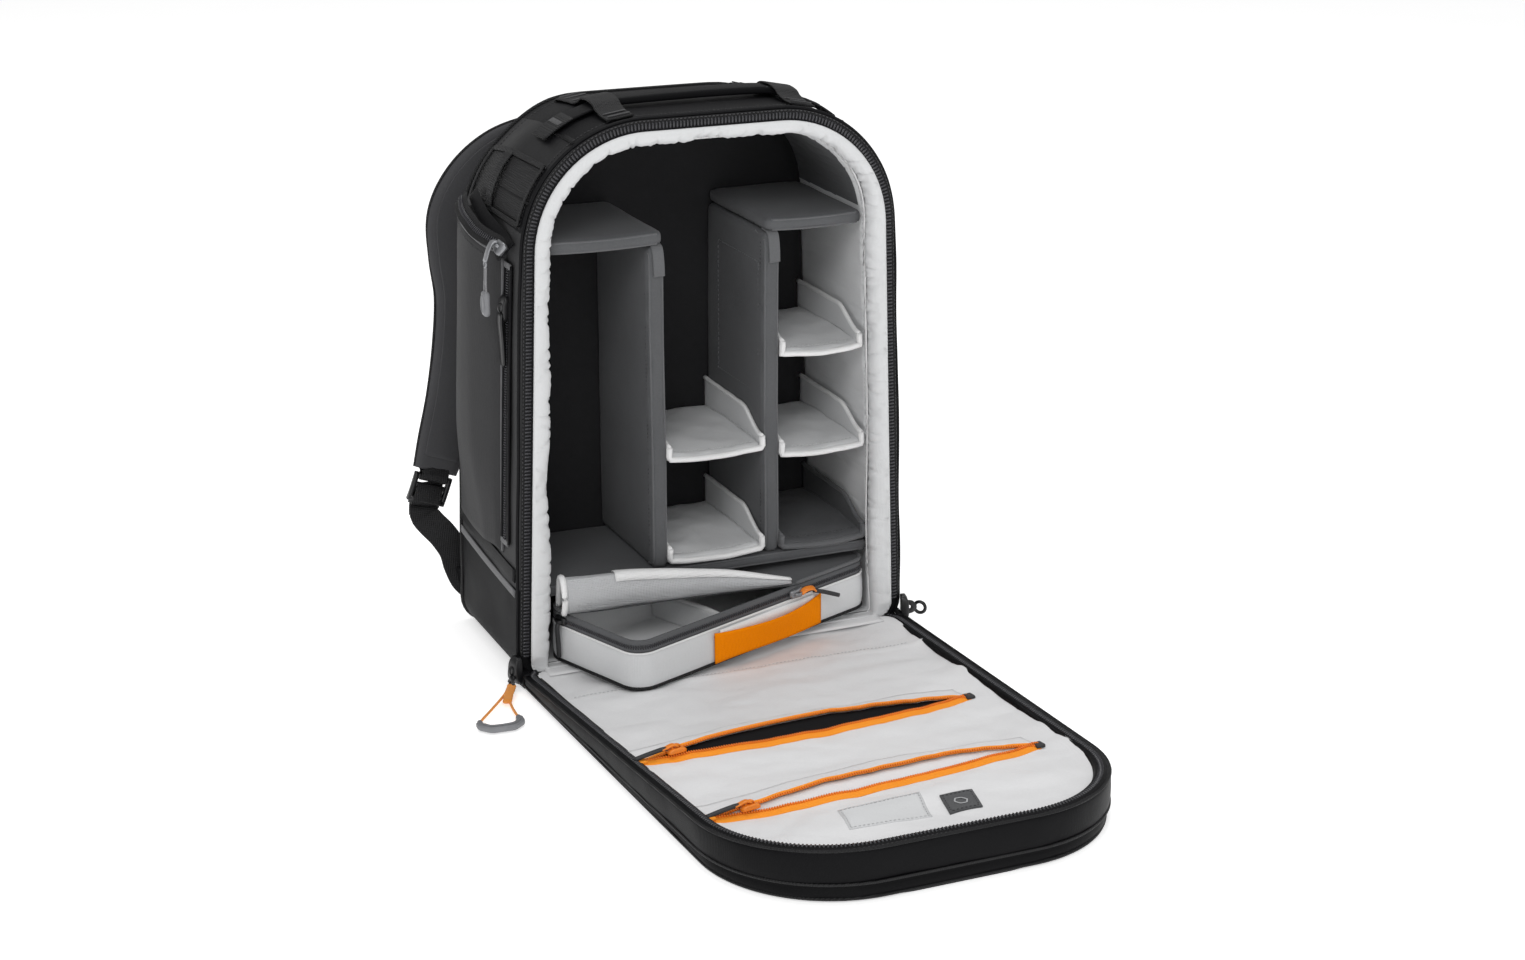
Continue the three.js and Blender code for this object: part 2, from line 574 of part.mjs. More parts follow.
function buildPouch() {
  const { z0, wallTop, rimTop, wall } = POUCH;
  const inside = slabZ(pouchRect(wall), z0 + wall, wallTop + 1);
  const divider = block(-150, -147, 1, POUCH.depth - 1, z0 + 1, wallTop - 6);
  add("pouch_tray", join(cut(slabZ(pouchRect(0), z0, wallTop), inside), divider), liningPale, pouch);
  const rim = pouchRect(0);
  rim.holes.push(new THREE.Path(pouchRect(4).getPoints(4)));
  add("pouch_rim", slabZ(rim, wallTop + GAP, rimTop), dividerGrey, pouch);
  const strip = new THREE.Shape();
  strip.moveTo(-183, -GAP).lineTo(-183, -2);
  strip.quadraticCurveTo(-122, -7, -62, -2);
  strip.lineTo(-62, -GAP);
  add("pouch_handle", slabZ(strip, z0 + 1.5, wallTop - 3), zipOrange, pouch);

  const lidZ = rimTop + GAP;
  const sheet = slabZ(pouchRect(1), lidZ, lidZ + 2);
  add("pouch_lid", keep(sheet, halfPlane(1, 0.8)), liningPale, pouch);
  const hinge = new THREE.Vector3(...FOLD_BACK, lidZ + 2.5);
  const axis = new THREE.Vector3(FOLD_FRONT[0] - FOLD_BACK[0], FOLD_FRONT[1] - FOLD_BACK[1], 0)
    .normalize();
  const fold = new THREE.Group();
  fold.position.copy(hinge);
  fold.quaternion.setFromAxisAngle(axis, -LID_OPEN);
  pouch.add(fold);
  const loose = keep(sheet, halfPlane(-1, 0.8));
  const curl = foldCurl(lidZ + 1);
  add("pouch_lid_flap", join(loose, curl).translate(-hinge.x, -hinge.y, -hinge.z), liningPale, fold);
  add("pouch_slider", join(
    block(-97, -84, -5, -GAP, wallTop + 1, wallTop + 9),
    block(-87, -53, -4.6, -2, wallTop + 3.4, wallTop + 6.4),
  ), plasticBlack, pouch);
}

buildBody();
const leftSide = buildSides();
buildMainZips(leftSide);
buildDividers();
buildHandle();
buildStraps();
buildFlap();
buildPouch();

export default bag;
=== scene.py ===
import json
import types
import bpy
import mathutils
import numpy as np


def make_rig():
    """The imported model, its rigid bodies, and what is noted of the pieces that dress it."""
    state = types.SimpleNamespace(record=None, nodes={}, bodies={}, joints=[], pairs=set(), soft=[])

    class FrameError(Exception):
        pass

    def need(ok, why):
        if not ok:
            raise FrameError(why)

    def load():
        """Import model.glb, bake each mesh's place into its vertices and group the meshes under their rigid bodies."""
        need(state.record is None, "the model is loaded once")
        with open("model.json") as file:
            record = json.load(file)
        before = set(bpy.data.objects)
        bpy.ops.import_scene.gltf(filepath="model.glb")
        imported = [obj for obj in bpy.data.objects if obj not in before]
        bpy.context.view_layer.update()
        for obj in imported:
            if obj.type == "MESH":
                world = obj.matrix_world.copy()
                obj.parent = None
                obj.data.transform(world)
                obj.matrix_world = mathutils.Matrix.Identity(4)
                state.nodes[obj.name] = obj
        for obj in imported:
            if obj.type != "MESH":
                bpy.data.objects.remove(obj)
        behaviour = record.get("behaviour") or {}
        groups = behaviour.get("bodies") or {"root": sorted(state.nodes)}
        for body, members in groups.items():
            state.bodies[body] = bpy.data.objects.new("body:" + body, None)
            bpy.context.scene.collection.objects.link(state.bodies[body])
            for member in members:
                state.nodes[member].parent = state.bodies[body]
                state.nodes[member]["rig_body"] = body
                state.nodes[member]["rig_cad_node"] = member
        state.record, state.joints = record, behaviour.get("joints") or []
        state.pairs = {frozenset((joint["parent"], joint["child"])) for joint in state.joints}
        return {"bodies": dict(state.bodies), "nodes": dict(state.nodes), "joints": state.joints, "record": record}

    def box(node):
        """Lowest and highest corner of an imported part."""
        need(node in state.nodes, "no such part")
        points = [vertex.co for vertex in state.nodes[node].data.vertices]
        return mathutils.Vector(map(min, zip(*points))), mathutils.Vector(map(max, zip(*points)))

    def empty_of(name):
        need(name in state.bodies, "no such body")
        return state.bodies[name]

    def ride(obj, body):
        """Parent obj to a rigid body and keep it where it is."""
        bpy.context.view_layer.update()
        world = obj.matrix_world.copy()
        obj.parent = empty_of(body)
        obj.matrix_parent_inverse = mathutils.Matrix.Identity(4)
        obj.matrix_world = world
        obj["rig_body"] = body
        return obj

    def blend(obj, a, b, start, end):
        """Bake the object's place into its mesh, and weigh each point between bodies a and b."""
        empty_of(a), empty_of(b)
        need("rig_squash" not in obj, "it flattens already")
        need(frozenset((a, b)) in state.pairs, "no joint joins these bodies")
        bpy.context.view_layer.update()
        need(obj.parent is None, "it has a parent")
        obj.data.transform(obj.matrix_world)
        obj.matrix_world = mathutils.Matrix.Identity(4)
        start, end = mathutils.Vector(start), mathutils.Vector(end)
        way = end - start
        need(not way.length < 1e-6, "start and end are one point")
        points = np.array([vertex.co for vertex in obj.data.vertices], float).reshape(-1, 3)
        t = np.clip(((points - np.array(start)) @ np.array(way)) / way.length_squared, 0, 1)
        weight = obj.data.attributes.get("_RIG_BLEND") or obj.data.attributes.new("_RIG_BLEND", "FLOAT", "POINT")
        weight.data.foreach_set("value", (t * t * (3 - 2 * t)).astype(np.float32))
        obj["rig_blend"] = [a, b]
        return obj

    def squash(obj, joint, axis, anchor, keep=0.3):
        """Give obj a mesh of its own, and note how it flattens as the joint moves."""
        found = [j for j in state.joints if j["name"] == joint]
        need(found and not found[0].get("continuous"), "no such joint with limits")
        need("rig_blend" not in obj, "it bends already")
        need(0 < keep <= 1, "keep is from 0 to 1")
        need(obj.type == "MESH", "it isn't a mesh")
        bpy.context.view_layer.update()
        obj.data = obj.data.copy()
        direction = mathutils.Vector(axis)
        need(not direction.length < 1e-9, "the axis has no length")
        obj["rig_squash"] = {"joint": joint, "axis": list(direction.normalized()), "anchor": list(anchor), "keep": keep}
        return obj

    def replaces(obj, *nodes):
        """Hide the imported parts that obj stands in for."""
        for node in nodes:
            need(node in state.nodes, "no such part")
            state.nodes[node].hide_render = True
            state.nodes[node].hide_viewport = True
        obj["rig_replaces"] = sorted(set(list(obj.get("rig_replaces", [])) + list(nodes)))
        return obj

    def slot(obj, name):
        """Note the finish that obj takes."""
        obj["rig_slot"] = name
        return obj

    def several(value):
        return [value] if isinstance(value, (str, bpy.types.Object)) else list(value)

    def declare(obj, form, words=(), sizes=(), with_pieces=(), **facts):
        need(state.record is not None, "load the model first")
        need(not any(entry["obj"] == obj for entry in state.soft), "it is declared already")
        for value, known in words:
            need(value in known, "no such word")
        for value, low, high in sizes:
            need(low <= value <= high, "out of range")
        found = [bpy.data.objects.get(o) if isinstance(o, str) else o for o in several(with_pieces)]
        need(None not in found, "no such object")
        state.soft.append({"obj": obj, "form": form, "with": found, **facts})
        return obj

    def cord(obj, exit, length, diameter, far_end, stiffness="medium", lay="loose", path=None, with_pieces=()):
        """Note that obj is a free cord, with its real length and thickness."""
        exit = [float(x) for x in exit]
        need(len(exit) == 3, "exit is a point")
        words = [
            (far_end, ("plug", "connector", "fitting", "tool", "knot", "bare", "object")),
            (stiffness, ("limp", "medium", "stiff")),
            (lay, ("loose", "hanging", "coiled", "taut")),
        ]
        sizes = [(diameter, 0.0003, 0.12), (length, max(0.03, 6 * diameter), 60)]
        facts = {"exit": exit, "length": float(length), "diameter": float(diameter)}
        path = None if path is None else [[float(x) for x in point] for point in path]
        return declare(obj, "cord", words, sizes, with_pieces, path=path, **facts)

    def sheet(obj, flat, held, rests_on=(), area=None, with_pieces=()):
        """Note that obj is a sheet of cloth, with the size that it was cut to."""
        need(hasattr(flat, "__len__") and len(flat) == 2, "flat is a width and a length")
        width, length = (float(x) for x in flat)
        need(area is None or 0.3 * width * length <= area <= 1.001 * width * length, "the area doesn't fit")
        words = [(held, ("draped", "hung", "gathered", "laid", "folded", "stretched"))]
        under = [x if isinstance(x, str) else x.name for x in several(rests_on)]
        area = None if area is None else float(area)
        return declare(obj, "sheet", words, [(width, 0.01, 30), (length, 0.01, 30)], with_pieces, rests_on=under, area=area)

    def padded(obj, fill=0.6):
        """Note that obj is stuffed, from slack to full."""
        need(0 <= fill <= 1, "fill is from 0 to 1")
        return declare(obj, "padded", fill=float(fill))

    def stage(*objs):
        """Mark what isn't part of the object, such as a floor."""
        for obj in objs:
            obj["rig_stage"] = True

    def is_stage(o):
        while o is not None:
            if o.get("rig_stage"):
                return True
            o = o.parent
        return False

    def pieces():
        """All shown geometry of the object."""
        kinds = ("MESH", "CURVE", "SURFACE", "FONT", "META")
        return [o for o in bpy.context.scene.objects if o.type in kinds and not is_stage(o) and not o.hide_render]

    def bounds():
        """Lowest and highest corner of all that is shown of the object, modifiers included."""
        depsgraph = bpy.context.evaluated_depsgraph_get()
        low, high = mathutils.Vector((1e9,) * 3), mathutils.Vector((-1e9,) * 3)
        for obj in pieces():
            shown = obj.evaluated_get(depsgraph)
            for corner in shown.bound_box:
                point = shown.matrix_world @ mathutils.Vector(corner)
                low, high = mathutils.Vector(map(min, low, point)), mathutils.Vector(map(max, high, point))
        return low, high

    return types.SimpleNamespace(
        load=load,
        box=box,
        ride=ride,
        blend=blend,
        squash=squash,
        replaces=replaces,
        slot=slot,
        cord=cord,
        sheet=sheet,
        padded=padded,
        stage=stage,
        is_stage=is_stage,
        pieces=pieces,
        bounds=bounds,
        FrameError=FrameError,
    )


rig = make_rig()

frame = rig.load()

import json
import math

import bmesh
import bpy
import numpy as np
from mathutils import Matrix, Vector, noise

cad_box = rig.bounds()
MM = 0.001

# ---------- dimensions shared with the CAD, in millimetres ----------
HALF_LOW, HALF_TOP, TOP_Z = 172.3, 156.0, 455.0
FRONT_Y = -75.0
CORNER_R, FOOT_R = 102.0, 25.0
HINGE_Z = 12.0
SLANT = math.atan((HALF_LOW - HALF_TOP) / TOP_Z)
FLAP_RISE = math.radians(3.7)
POUCH_YAW = math.radians(20.6)
POUCH_TILT = math.radians(1)
FLAP_ZIPS = {"upper": (212.0, 141.0), "lower": (331.0, 136.0)}
ZIP_TURN = math.radians(3.6)


# ---------- camera: lens in millimetres, place in metres, angles in radians ----------
LENS, SENSOR, FARTHEST = 62.04, 36.0, 50
CAMERA_PLACE = (-0.77998, -1.87137 + FRONT_Y * MM, 0.84227)
CAMERA_TURN, CAMERA_RISE, CAMERA_ROLL = -0.4140, 0.3273, 0.0029


def add_camera():
    """The camera that the part is seen through."""
    data = bpy.data.cameras.new("camera")
    data.sensor_width = SENSOR
    data.lens = LENS
    data.clip_end = FARTHEST
    camera = bpy.data.objects.new("camera", data)
    flat = math.cos(CAMERA_RISE)
    back = Vector((math.sin(CAMERA_TURN) * flat, -math.cos(CAMERA_TURN) * flat,
                   math.sin(CAMERA_RISE)))
    level = (-back).cross(Vector((0, 0, 1))).normalized()
    upright = level.cross(-back)
    c, s = math.cos(CAMERA_ROLL), math.sin(CAMERA_ROLL)
    matrix = Matrix((c * level + s * upright, -s * level + c * upright, back))
    matrix = matrix.transposed().to_4x4()
    matrix.translation = CAMERA_PLACE
    camera.matrix_world = matrix
    bpy.context.collection.objects.link(camera)
    bpy.context.scene.camera = camera


add_camera()


# ---------- materials ----------
def linear(value):
    """Linear RGBA from a hex colour."""
    parts = [((value >> s) & 255) / 255 for s in (16, 8, 0)]
    return [c / 12.92 if c <= 0.04045 else ((c + 0.055) / 1.055) ** 2.4 for c in parts] + [1.0]


class Nodes:
    """Shorthand for building one material's node tree."""

    def __init__(self, name, roughness, metallic=0.0, sheen=0.0, specular=0.5):
        self.material = bpy.data.materials.new(name)
        self.material.use_nodes = True
        self.tree = self.material.node_tree
        self.shader = self.tree.nodes["Principled BSDF"]
        for key, value in (("Roughness", roughness), ("Metallic", metallic),
                           ("Sheen Weight", sheen), ("Specular IOR Level", specular)):
            self.shader.inputs[key].default_value = value
        coords = self.tree.nodes.new("ShaderNodeTexCoord")
        self.coords = coords.outputs["Object"]

    def add(self, kind, **settings):
        """A node with its sockets and properties set."""
        node = self.tree.nodes.new(kind)
        for key, value in settings.items():
            if key in node.inputs:
                node.inputs[key].default_value = value
            else:
                setattr(node, key, value)
        return node

    def link(self, a, b):
        """An output joined to an input."""
        self.tree.links.new(a, b)

    def noise(self, scale, detail=3.0):
        """Noise over the piece; scale in waves to the metre."""
        node = self.add("ShaderNodeTexNoise", Scale=scale, Detail=detail, Roughness=0.55)
        self.link(self.coords, node.inputs["Vector"])
        return node.outputs["Fac"]

    def math(self, operation, a, b=None):
        """A sum or product of outputs and numbers."""
        node = self.add("ShaderNodeMath", operation=operation)
        for socket, value in zip(node.inputs, (a, b)):
            if value is None:
                continue
            if isinstance(value, (int, float)):
                socket.default_value = value
            else:
                self.link(value, socket)
        return node.outputs[0]

    def weave(self, pitch):
        """A plain weave, the same on faces of any direction. pitch in millimetres."""
        split = self.add("ShaderNodeSeparateXYZ")
        self.link(self.coords, split.inputs[0])
        waves = []
        for axis in range(3):
            turned = self.math("MULTIPLY", split.outputs[axis], 2 * math.pi / (pitch * MM))
            waves.append(self.math("SINE", turned))
        pair = self.math("ADD", waves[0], waves[1])
        return self.math("ADD", pair, waves[2])

    def ramp(self, fac, stops):
        """Colours blended between stops of (place, colour)."""
        node = self.add("ShaderNodeValToRGB")
        elements = node.color_ramp.elements
        while len(elements) < len(stops):
            elements.new(0.5)
        for element, (place, colour) in zip(elements, stops):
            element.position = place
            element.color = colour
        self.link(fac, node.inputs["Fac"])
        return node.outputs["Color"]

    def bump(self, height, strength, distance, below=None):
        """A bumped normal; distance in millimetres."""
        node = self.add("ShaderNodeBump", Strength=strength, Distance=distance * MM)
        self.link(height, node.inputs["Height"])
        if below is not None:
            self.link(below, node.inputs["Normal"])
        return node.outputs["Normal"]


def shade(colour, factor):
    """A colour made lighter or darker."""
    return [min(1.0, c * factor) for c in colour[:3]] + [1.0]


def cloth(name, colour, roughness=0.8, pitch=0.9, weave=0.35, grain=0.3, mottle=0.12,
          sheen=0.15, coarse=60.0, specular=0.35):
    """Woven or brushed fabric: weave and fibre bump, slow and fine colour changes."""
    n = Nodes(name, roughness, sheen=sheen, specular=specular)
    base = linear(colour)
    slow = n.noise(coarse * 0.25, 4.0)
    fine = n.noise(coarse * 12, 2.0)
    mixed = n.math("ADD", n.math("MULTIPLY", slow, 0.65), n.math("MULTIPLY", fine, 0.35))
    n.link(n.ramp(mixed, [(0.3, shade(base, 1 - mottle)), (0.7, shade(base, 1 + mottle))]),
           n.shader.inputs["Base Color"])
    rough = n.math("ADD", n.math("MULTIPLY", slow, 0.2), roughness - 0.1)
    n.link(rough, n.shader.inputs["Roughness"])
    normal = n.bump(n.weave(pitch), weave, 0.12)
    normal = n.bump(n.noise(coarse * 25, 2.0), grain, 0.15, normal)
    normal = n.bump(n.noise(coarse * 0.9, 3.0), 0.25, 0.8, normal)
    n.link(normal, n.shader.inputs["Normal"])
    return n.material


def moulded(name, colour, roughness=0.4, metallic=0.0):
    """Moulded plastic or cast metal with a fine grain and worn high spots."""
    n = Nodes(name, roughness, metallic)
    base = linear(colour)
    slow = n.noise(180, 3.0)
    n.link(n.ramp(slow, [(0.3, shade(base, 1 - 0.08)), (0.7, shade(base, 1 + 0.08))]),
           n.shader.inputs["Base Color"])
    n.link(n.math("ADD", n.math("MULTIPLY", slow, 0.24), roughness - 0.12),
           n.shader.inputs["Roughness"])
    n.link(n.bump(n.noise(2600, 2.0), 0.12, 0.08), n.shader.inputs["Normal"])
    return n.material


def spacer(name, colour):
    """Thick spacer mesh: dark pits, 3.4 mm apart, in a soft honeycomb."""
    n = Nodes(name, 0.85, sheen=0.2, specular=0.3)
    base = linear(colour)
    voronoi = n.add("ShaderNodeTexVoronoi", Scale=1 / (3.4 * MM), Randomness=0.15)
    n.link(n.coords, voronoi.inputs["Vector"])
    pits = voronoi.outputs["Distance"]
    n.link(n.ramp(pits, [(0.1, shade(base, 0.35)), (0.4, shade(base, 1.25))]),
           n.shader.inputs["Base Color"])
    n.link(n.bump(pits, 0.7, 0.7), n.shader.inputs["Normal"])
    return n.material


SHELL_BLACK = cloth("shell_black_fabric", 0x0F0F11, 0.56, pitch=0.8, weave=0.2, sheen=0,
                    specular=0.13)
FLAP_BLACK = cloth("flap_black_fabric", 0x0A0A0C, 0.5, pitch=0.8, weave=0.2, sheen=0,
                   specular=0.1)
SHELL_SATIN = cloth("shell_satin_fabric", 0x0E0E10, 0.42, pitch=0.8, weave=0.12, grain=0.1,
                    sheen=0, specular=0.22)
SHELL_GREY = cloth("shell_grey_fabric", 0x383839, 0.66, pitch=0.8, weave=0.22, sheen=0,
                   specular=0.16)
SHELL_DARK = cloth("shell_dark_fabric", 0x111113, 0.62, pitch=0.8, weave=0.2, sheen=0,
                   specular=0.1)
STRAP_GREY = cloth("strap_grey_fabric", 0x424244, 0.7, pitch=0.8, weave=0.2, sheen=0,
                   specular=0.2)
PALE = cloth("lining_pale_loop", 0xD2D3D4, 0.9, pitch=1.1, weave=0.25, grain=0.5, mottle=0.04,
             sheen=0.05, coarse=50)
PALE_SMOOTH = cloth("lining_pale_taffeta", 0xDEDEDF, 0.6, pitch=0.7, weave=0.15, grain=0.1,
                    mottle=0.03, sheen=0.1, coarse=40)
DIVIDER = cloth("divider_grey_loop", 0x565759, 0.9, pitch=1.1, weave=0.3, grain=0.6,
                mottle=0.12, sheen=0.05)
DIVIDER_EDGE = cloth("divider_binding", 0x5E5F61, 0.8, pitch=1.2, weave=0.5, mottle=0.1)
BACK_LINING = cloth("back_lining_loop", 0x1E1E20, 0.9, pitch=1.1, weave=0.3, grain=0.6,
                    sheen=0.05)
BINDING_PALE = cloth("pale_binding", 0xE6E6E6, 0.75, pitch=1.2, weave=0.5, mottle=0.05)
WEB = cloth("black_webbing", 0x0F0F11, 0.6, pitch=1.6, weave=0.9, mottle=0.2, sheen=0)
TAPE = cloth("zip_tape_black", 0x0E0E10, 0.7, pitch=1.0, weave=0.7, mottle=0.15, sheen=0)
TAPE_ORANGE = cloth("zip_tape_orange", 0xFF9A30, 0.7, pitch=1.0, weave=0.6, mottle=0.08,
                    sheen=0, specular=0.1)
ORANGE_STRAP = cloth("orange_strap", 0xFF8C00, 0.75, pitch=1.4, weave=0.7, mottle=0.05,
                     sheen=0, specular=0.06)
CORD_ORANGE = cloth("orange_cord", 0xFFA040, 0.7, pitch=0.8, weave=0.9, mottle=0.15)
CORD_GREY = cloth("grey_cord", 0x8C8C8E, 0.7, pitch=0.8, weave=0.9, mottle=0.15)
PIPING_GREY = cloth("grey_piping", 0x5C5C5E, 0.7, pitch=1.0, weave=0.4)
THREAD_DARK = cloth("dark_thread", 0x3A3A3C, 0.6, pitch=0.5, weave=0.5)
THREAD_PALE = cloth("pale_thread", 0xC4C5C6, 0.7, pitch=0.5, weave=0.5)
THREAD_ORANGE = cloth("orange_thread", 0xC9600C, 0.7, pitch=0.5, weave=0.5)
TEETH = moulded("zip_teeth_black", 0x2C2C30, 0.2)
TEETH_ORANGE = moulded("zip_teeth_orange", 0xE87A1C, 0.42)
PLASTIC = moulded("black_plastic", 0x101012, 0.36)
PLASTIC_ORANGE = moulded("orange_plastic", 0xE8821E, 0.4)
GRIP_GREY = moulded("grey_plastic", 0x77787B, 0.5)
PULL_METAL = moulded("slider_grey_metal", 0x8A8B8E, 0.36, metallic=0.7)
RUBBER = moulded("pull_rubber", 0x2A2A2C, 0.6)
PATCH = cloth("patch_dark", 0x4A4B4D, 0.7, pitch=0.7, weave=0.5)
PATCH_MARK = cloth("patch_mark", 0xB4B5B7, 0.6, pitch=0.5, weave=0.5)
SPACER = spacer("spacer_mesh", 0x2C2C2E)


# ---------- mesh helpers; all points in millimetres ----------
def make(name, verts, faces, material, body="body", slot=None):
    """One smooth mesh piece, kept above the floor, on a body or (None) not yet on any."""
    points = np.array(verts, float)
    points[:, 2] = np.maximum(points[:, 2], 0)
    mesh = bpy.data.meshes.new(name)
    mesh.from_pydata((points * MM).tolist(), [], [tuple(f) for f in faces])
    shape = bmesh.new()
    shape.from_mesh(mesh)
    bmesh.ops.recalc_face_normals(shape, faces=shape.faces)
    shape.to_mesh(mesh)
    shape.free()
    for m in material if isinstance(material, (list, tuple)) else [material]:
        mesh.materials.append(m)
    mesh.shade_smooth()
    piece = bpy.data.objects.new(name, mesh)
    bpy.context.collection.objects.link(piece)
    if body:
        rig.ride(piece, body)
    if slot:
        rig.slot(piece, slot)
    return piece


def grid_faces(nu, nv, closed_u=False, closed_v=False, start=0):
    """Four-sided faces over a grid of vertices."""
    faces = []
    for i in range(nu if closed_u else nu - 1):
        for j in range(nv if closed_v else nv - 1):
            a, b = i, (i + 1) % nu
            c, d = j, (j + 1) % nv
            faces.append([start + a * nv + c, start + b * nv + c, start + b * nv + d,
                          start + a * nv + d])
    return faces


def rings_to_loop(rings):
    """Verts and faces of a closed tube through rings of equal length."""
    n, m, _ = rings.shape
    return rings.reshape(-1, 3), grid_faces(n, m, True, True)


def rings_to_solid(rings):
    """Verts and faces of a closed solid through rings of equal length, with flat ends."""
    rings = np.asarray(rings, float)
    n, m, _ = rings.shape
    faces = grid_faces(n, m, closed_v=True)
    faces.append(list(range(m)))
    faces.append(list(range((n - 1) * m, n * m))[::-1])
    return rings.reshape(-1, 3), faces


def normalise(v):
    """Unit vectors."""
    return v / np.maximum(np.linalg.norm(v, axis=-1, keepdims=True), 1e-12)


def tangents(path, closed=False):
    """The direction of a path at each point."""
    if closed:
        return normalise(np.roll(path, -1, 0) - np.roll(path, 1, 0))
    return normalise(np.gradient(path, axis=0))


def frames(path, up, closed=False):
    """Two directions across a path at each point: sideways, and outwards like up."""
    t = tangents(path, closed)
    up = np.broadcast_to(np.asarray(up, float), path.shape)
    across = normalise(np.cross(t, up))
    return across, normalise(np.cross(across, t))


def sweep_rings(path, profile, up, closed=False):
    """Rings of a cross-section carried along a path; profile is (across, up) pairs,
    the same all along or one list per station."""
    path = np.asarray(path, float)
    across, out = frames(path, up, closed)
    profile = np.asarray(profile, float)
    if profile.ndim == 2:
        profile = np.broadcast_to(profile, (len(path),) + profile.shape)
    return (path[:, None] + profile[..., :1] * across[:, None] + profile[..., 1:] * out[:, None])


def sweep(name, path, profile, up, material, body="body", slot=None, closed=False):
    """A piece with a cross-section carried along a path."""
    rings = sweep_rings(path, profile, up, closed)
    solid = rings_to_loop(rings) if closed else rings_to_solid(rings)
    return make(name, *solid, material, body, slot)


def circle(r, n=10, squash=1.0):
    """A round or flattened cross-section."""
    a = np.arange(n) * 2 * math.pi / n
    return np.stack([r * np.cos(a), squash * r * np.sin(a)], 1)


def rrect(width, thick, r=None, n=3, lift=0.0):
    """A rounded rectangle standing on 0 + lift, as (across, up) pairs."""
    r = min(width, thick) * 0.45 if r is None else r
    pts = []
    for cx, cy, a0 in ((width / 2 - r, thick - r, 0), (r - width / 2, thick - r, 90),
                       (r - width / 2, r, 180), (width / 2 - r, r, 270)):
        for k in range(n + 1):
            a = math.radians(a0 + 90 * k / n)
            pts.append((cx + r * math.cos(a), cy + lift + r * math.sin(a)))
    return np.array(pts)


def spline(points, per=8):
    """A smooth line through the points, with so many steps between neighbours."""
    p = np.asarray(points, float)
    out = []
    for i in range(len(p) - 1):
        p1, p2 = p[i], p[i + 1]
        p0 = p[i - 1] if i else 2 * p1 - p2
        p3 = p[i + 2] if i + 2 < len(p) else 2 * p2 - p1
        for k in range(per):
            t = k / per
            out.append(0.5 * (2 * p1 + (p2 - p0) * t + (2 * p0 - 5 * p1 + 4 * p2 - p3) * t * t
                              + (3 * p1 - p0 - 3 * p2 + p3) * t ** 3))
    out.append(p[-1])
    return np.array(out)


def resample(path, step, closed=False, values=None):
    """Even spacing along a line; values are carried along with it."""
    path = np.asarray(path, float)
    loop = np.vstack([path, path[:1]]) if closed else path
    length = np.concatenate([[0], np.cumsum(np.linalg.norm(np.diff(loop, axis=0), axis=1))])
    count = max(2, int(round(length[-1] / step)) + (0 if closed else 1))
    at = np.linspace(0, length[-1], count, endpoint=not closed)
    new = np.stack([np.interp(at, length, loop[:, k]) for k in range(3)], 1)
    if values is None:
        return new
    values = np.asarray(values, float)
    held = np.vstack([values, values[:1]]) if closed else values
    return new, np.stack([np.interp(at, length, held[:, k]) for k in range(3)], 1)


def stitches(name, path, up, material, body="body", pitch=3.4, dash=2.3, r=0.32):
    """A row of thread stitches lying on a surface along a line."""
    path, up = resample(path, pitch, values=np.broadcast_to(np.asarray(up, float),
                                                            np.shape(path)))
    t = tangents(path)
    across, out = frames(path, up)
    verts, faces = [], []
    for p, a, b, c in zip(path[:-1], t, across, out):
        k = len(verts)
        verts += [p - a * dash / 2 - c * r * 0.6]
        for s in (-0.28, 0.28):
            verts += [p + a * dash * s + b * r * x + c * r * y
                      for x, y in ((1, 0), (0, 1.1), (-1, 0), (0, -0.8))]
        verts += [p + a * dash / 2 - c * r * 0.6]
        for q in range(4):
            w = (q + 1) % 4
            faces += [[k, k + 1 + w, k + 1 + q], [k + 1 + q, k + 1 + w, k + 5 + w, k + 5 + q],
                      [k + 9, k + 5 + q, k + 5 + w]]
    return make(name, verts, faces, material, body)


def zip_teeth(name, path, up, width, material, body="body", pitch=2.1, high=1.5):
    """Coil teeth: a rounded ridge across the line at every pitch."""
    path, up = resample(path, pitch, values=np.broadcast_to(np.asarray(up, float),
                                                            np.shape(path)))
    t = tangents(path)
    across, out = frames(path, up)
    section = [(-1, 0), (-0.75, 0.8), (0, 1), (0.75, 0.8), (1, 0)]
    ends = [(-0.5, 0.55), (-0.36, 1), (0.36, 1), (0.5, 0.55)]
    verts, faces = [], []
    for p, a, b, c in zip(path, t, across, out):
        k = len(verts)
        for s, tall in ends:
            verts += [p + b * width * s + a * pitch * 0.34 * x + c * high * tall * y
                      for x, y in section]
        faces += grid_faces(4, 5, closed_v=True, start=k)
        faces += [[k + 4, k + 3, k + 2, k + 1, k], [k + 15 + q for q in range(5)]]
    return make(name, verts, faces, material, body)


def rumple(points, size, amount, seed=0.0, stretch=(1, 1, 1)):
    """Smooth noise for each point, about -amount to amount. size in millimetres."""
    off = Vector((seed * 17.3, seed * 5.1, seed * 9.7))
    k = np.asarray(stretch, float) / size
    return np.array([amount * 1.6 * noise.noise(Vector(p) + off)
                     for p in (np.asarray(points, float).reshape(-1, 3) * k).tolist()])


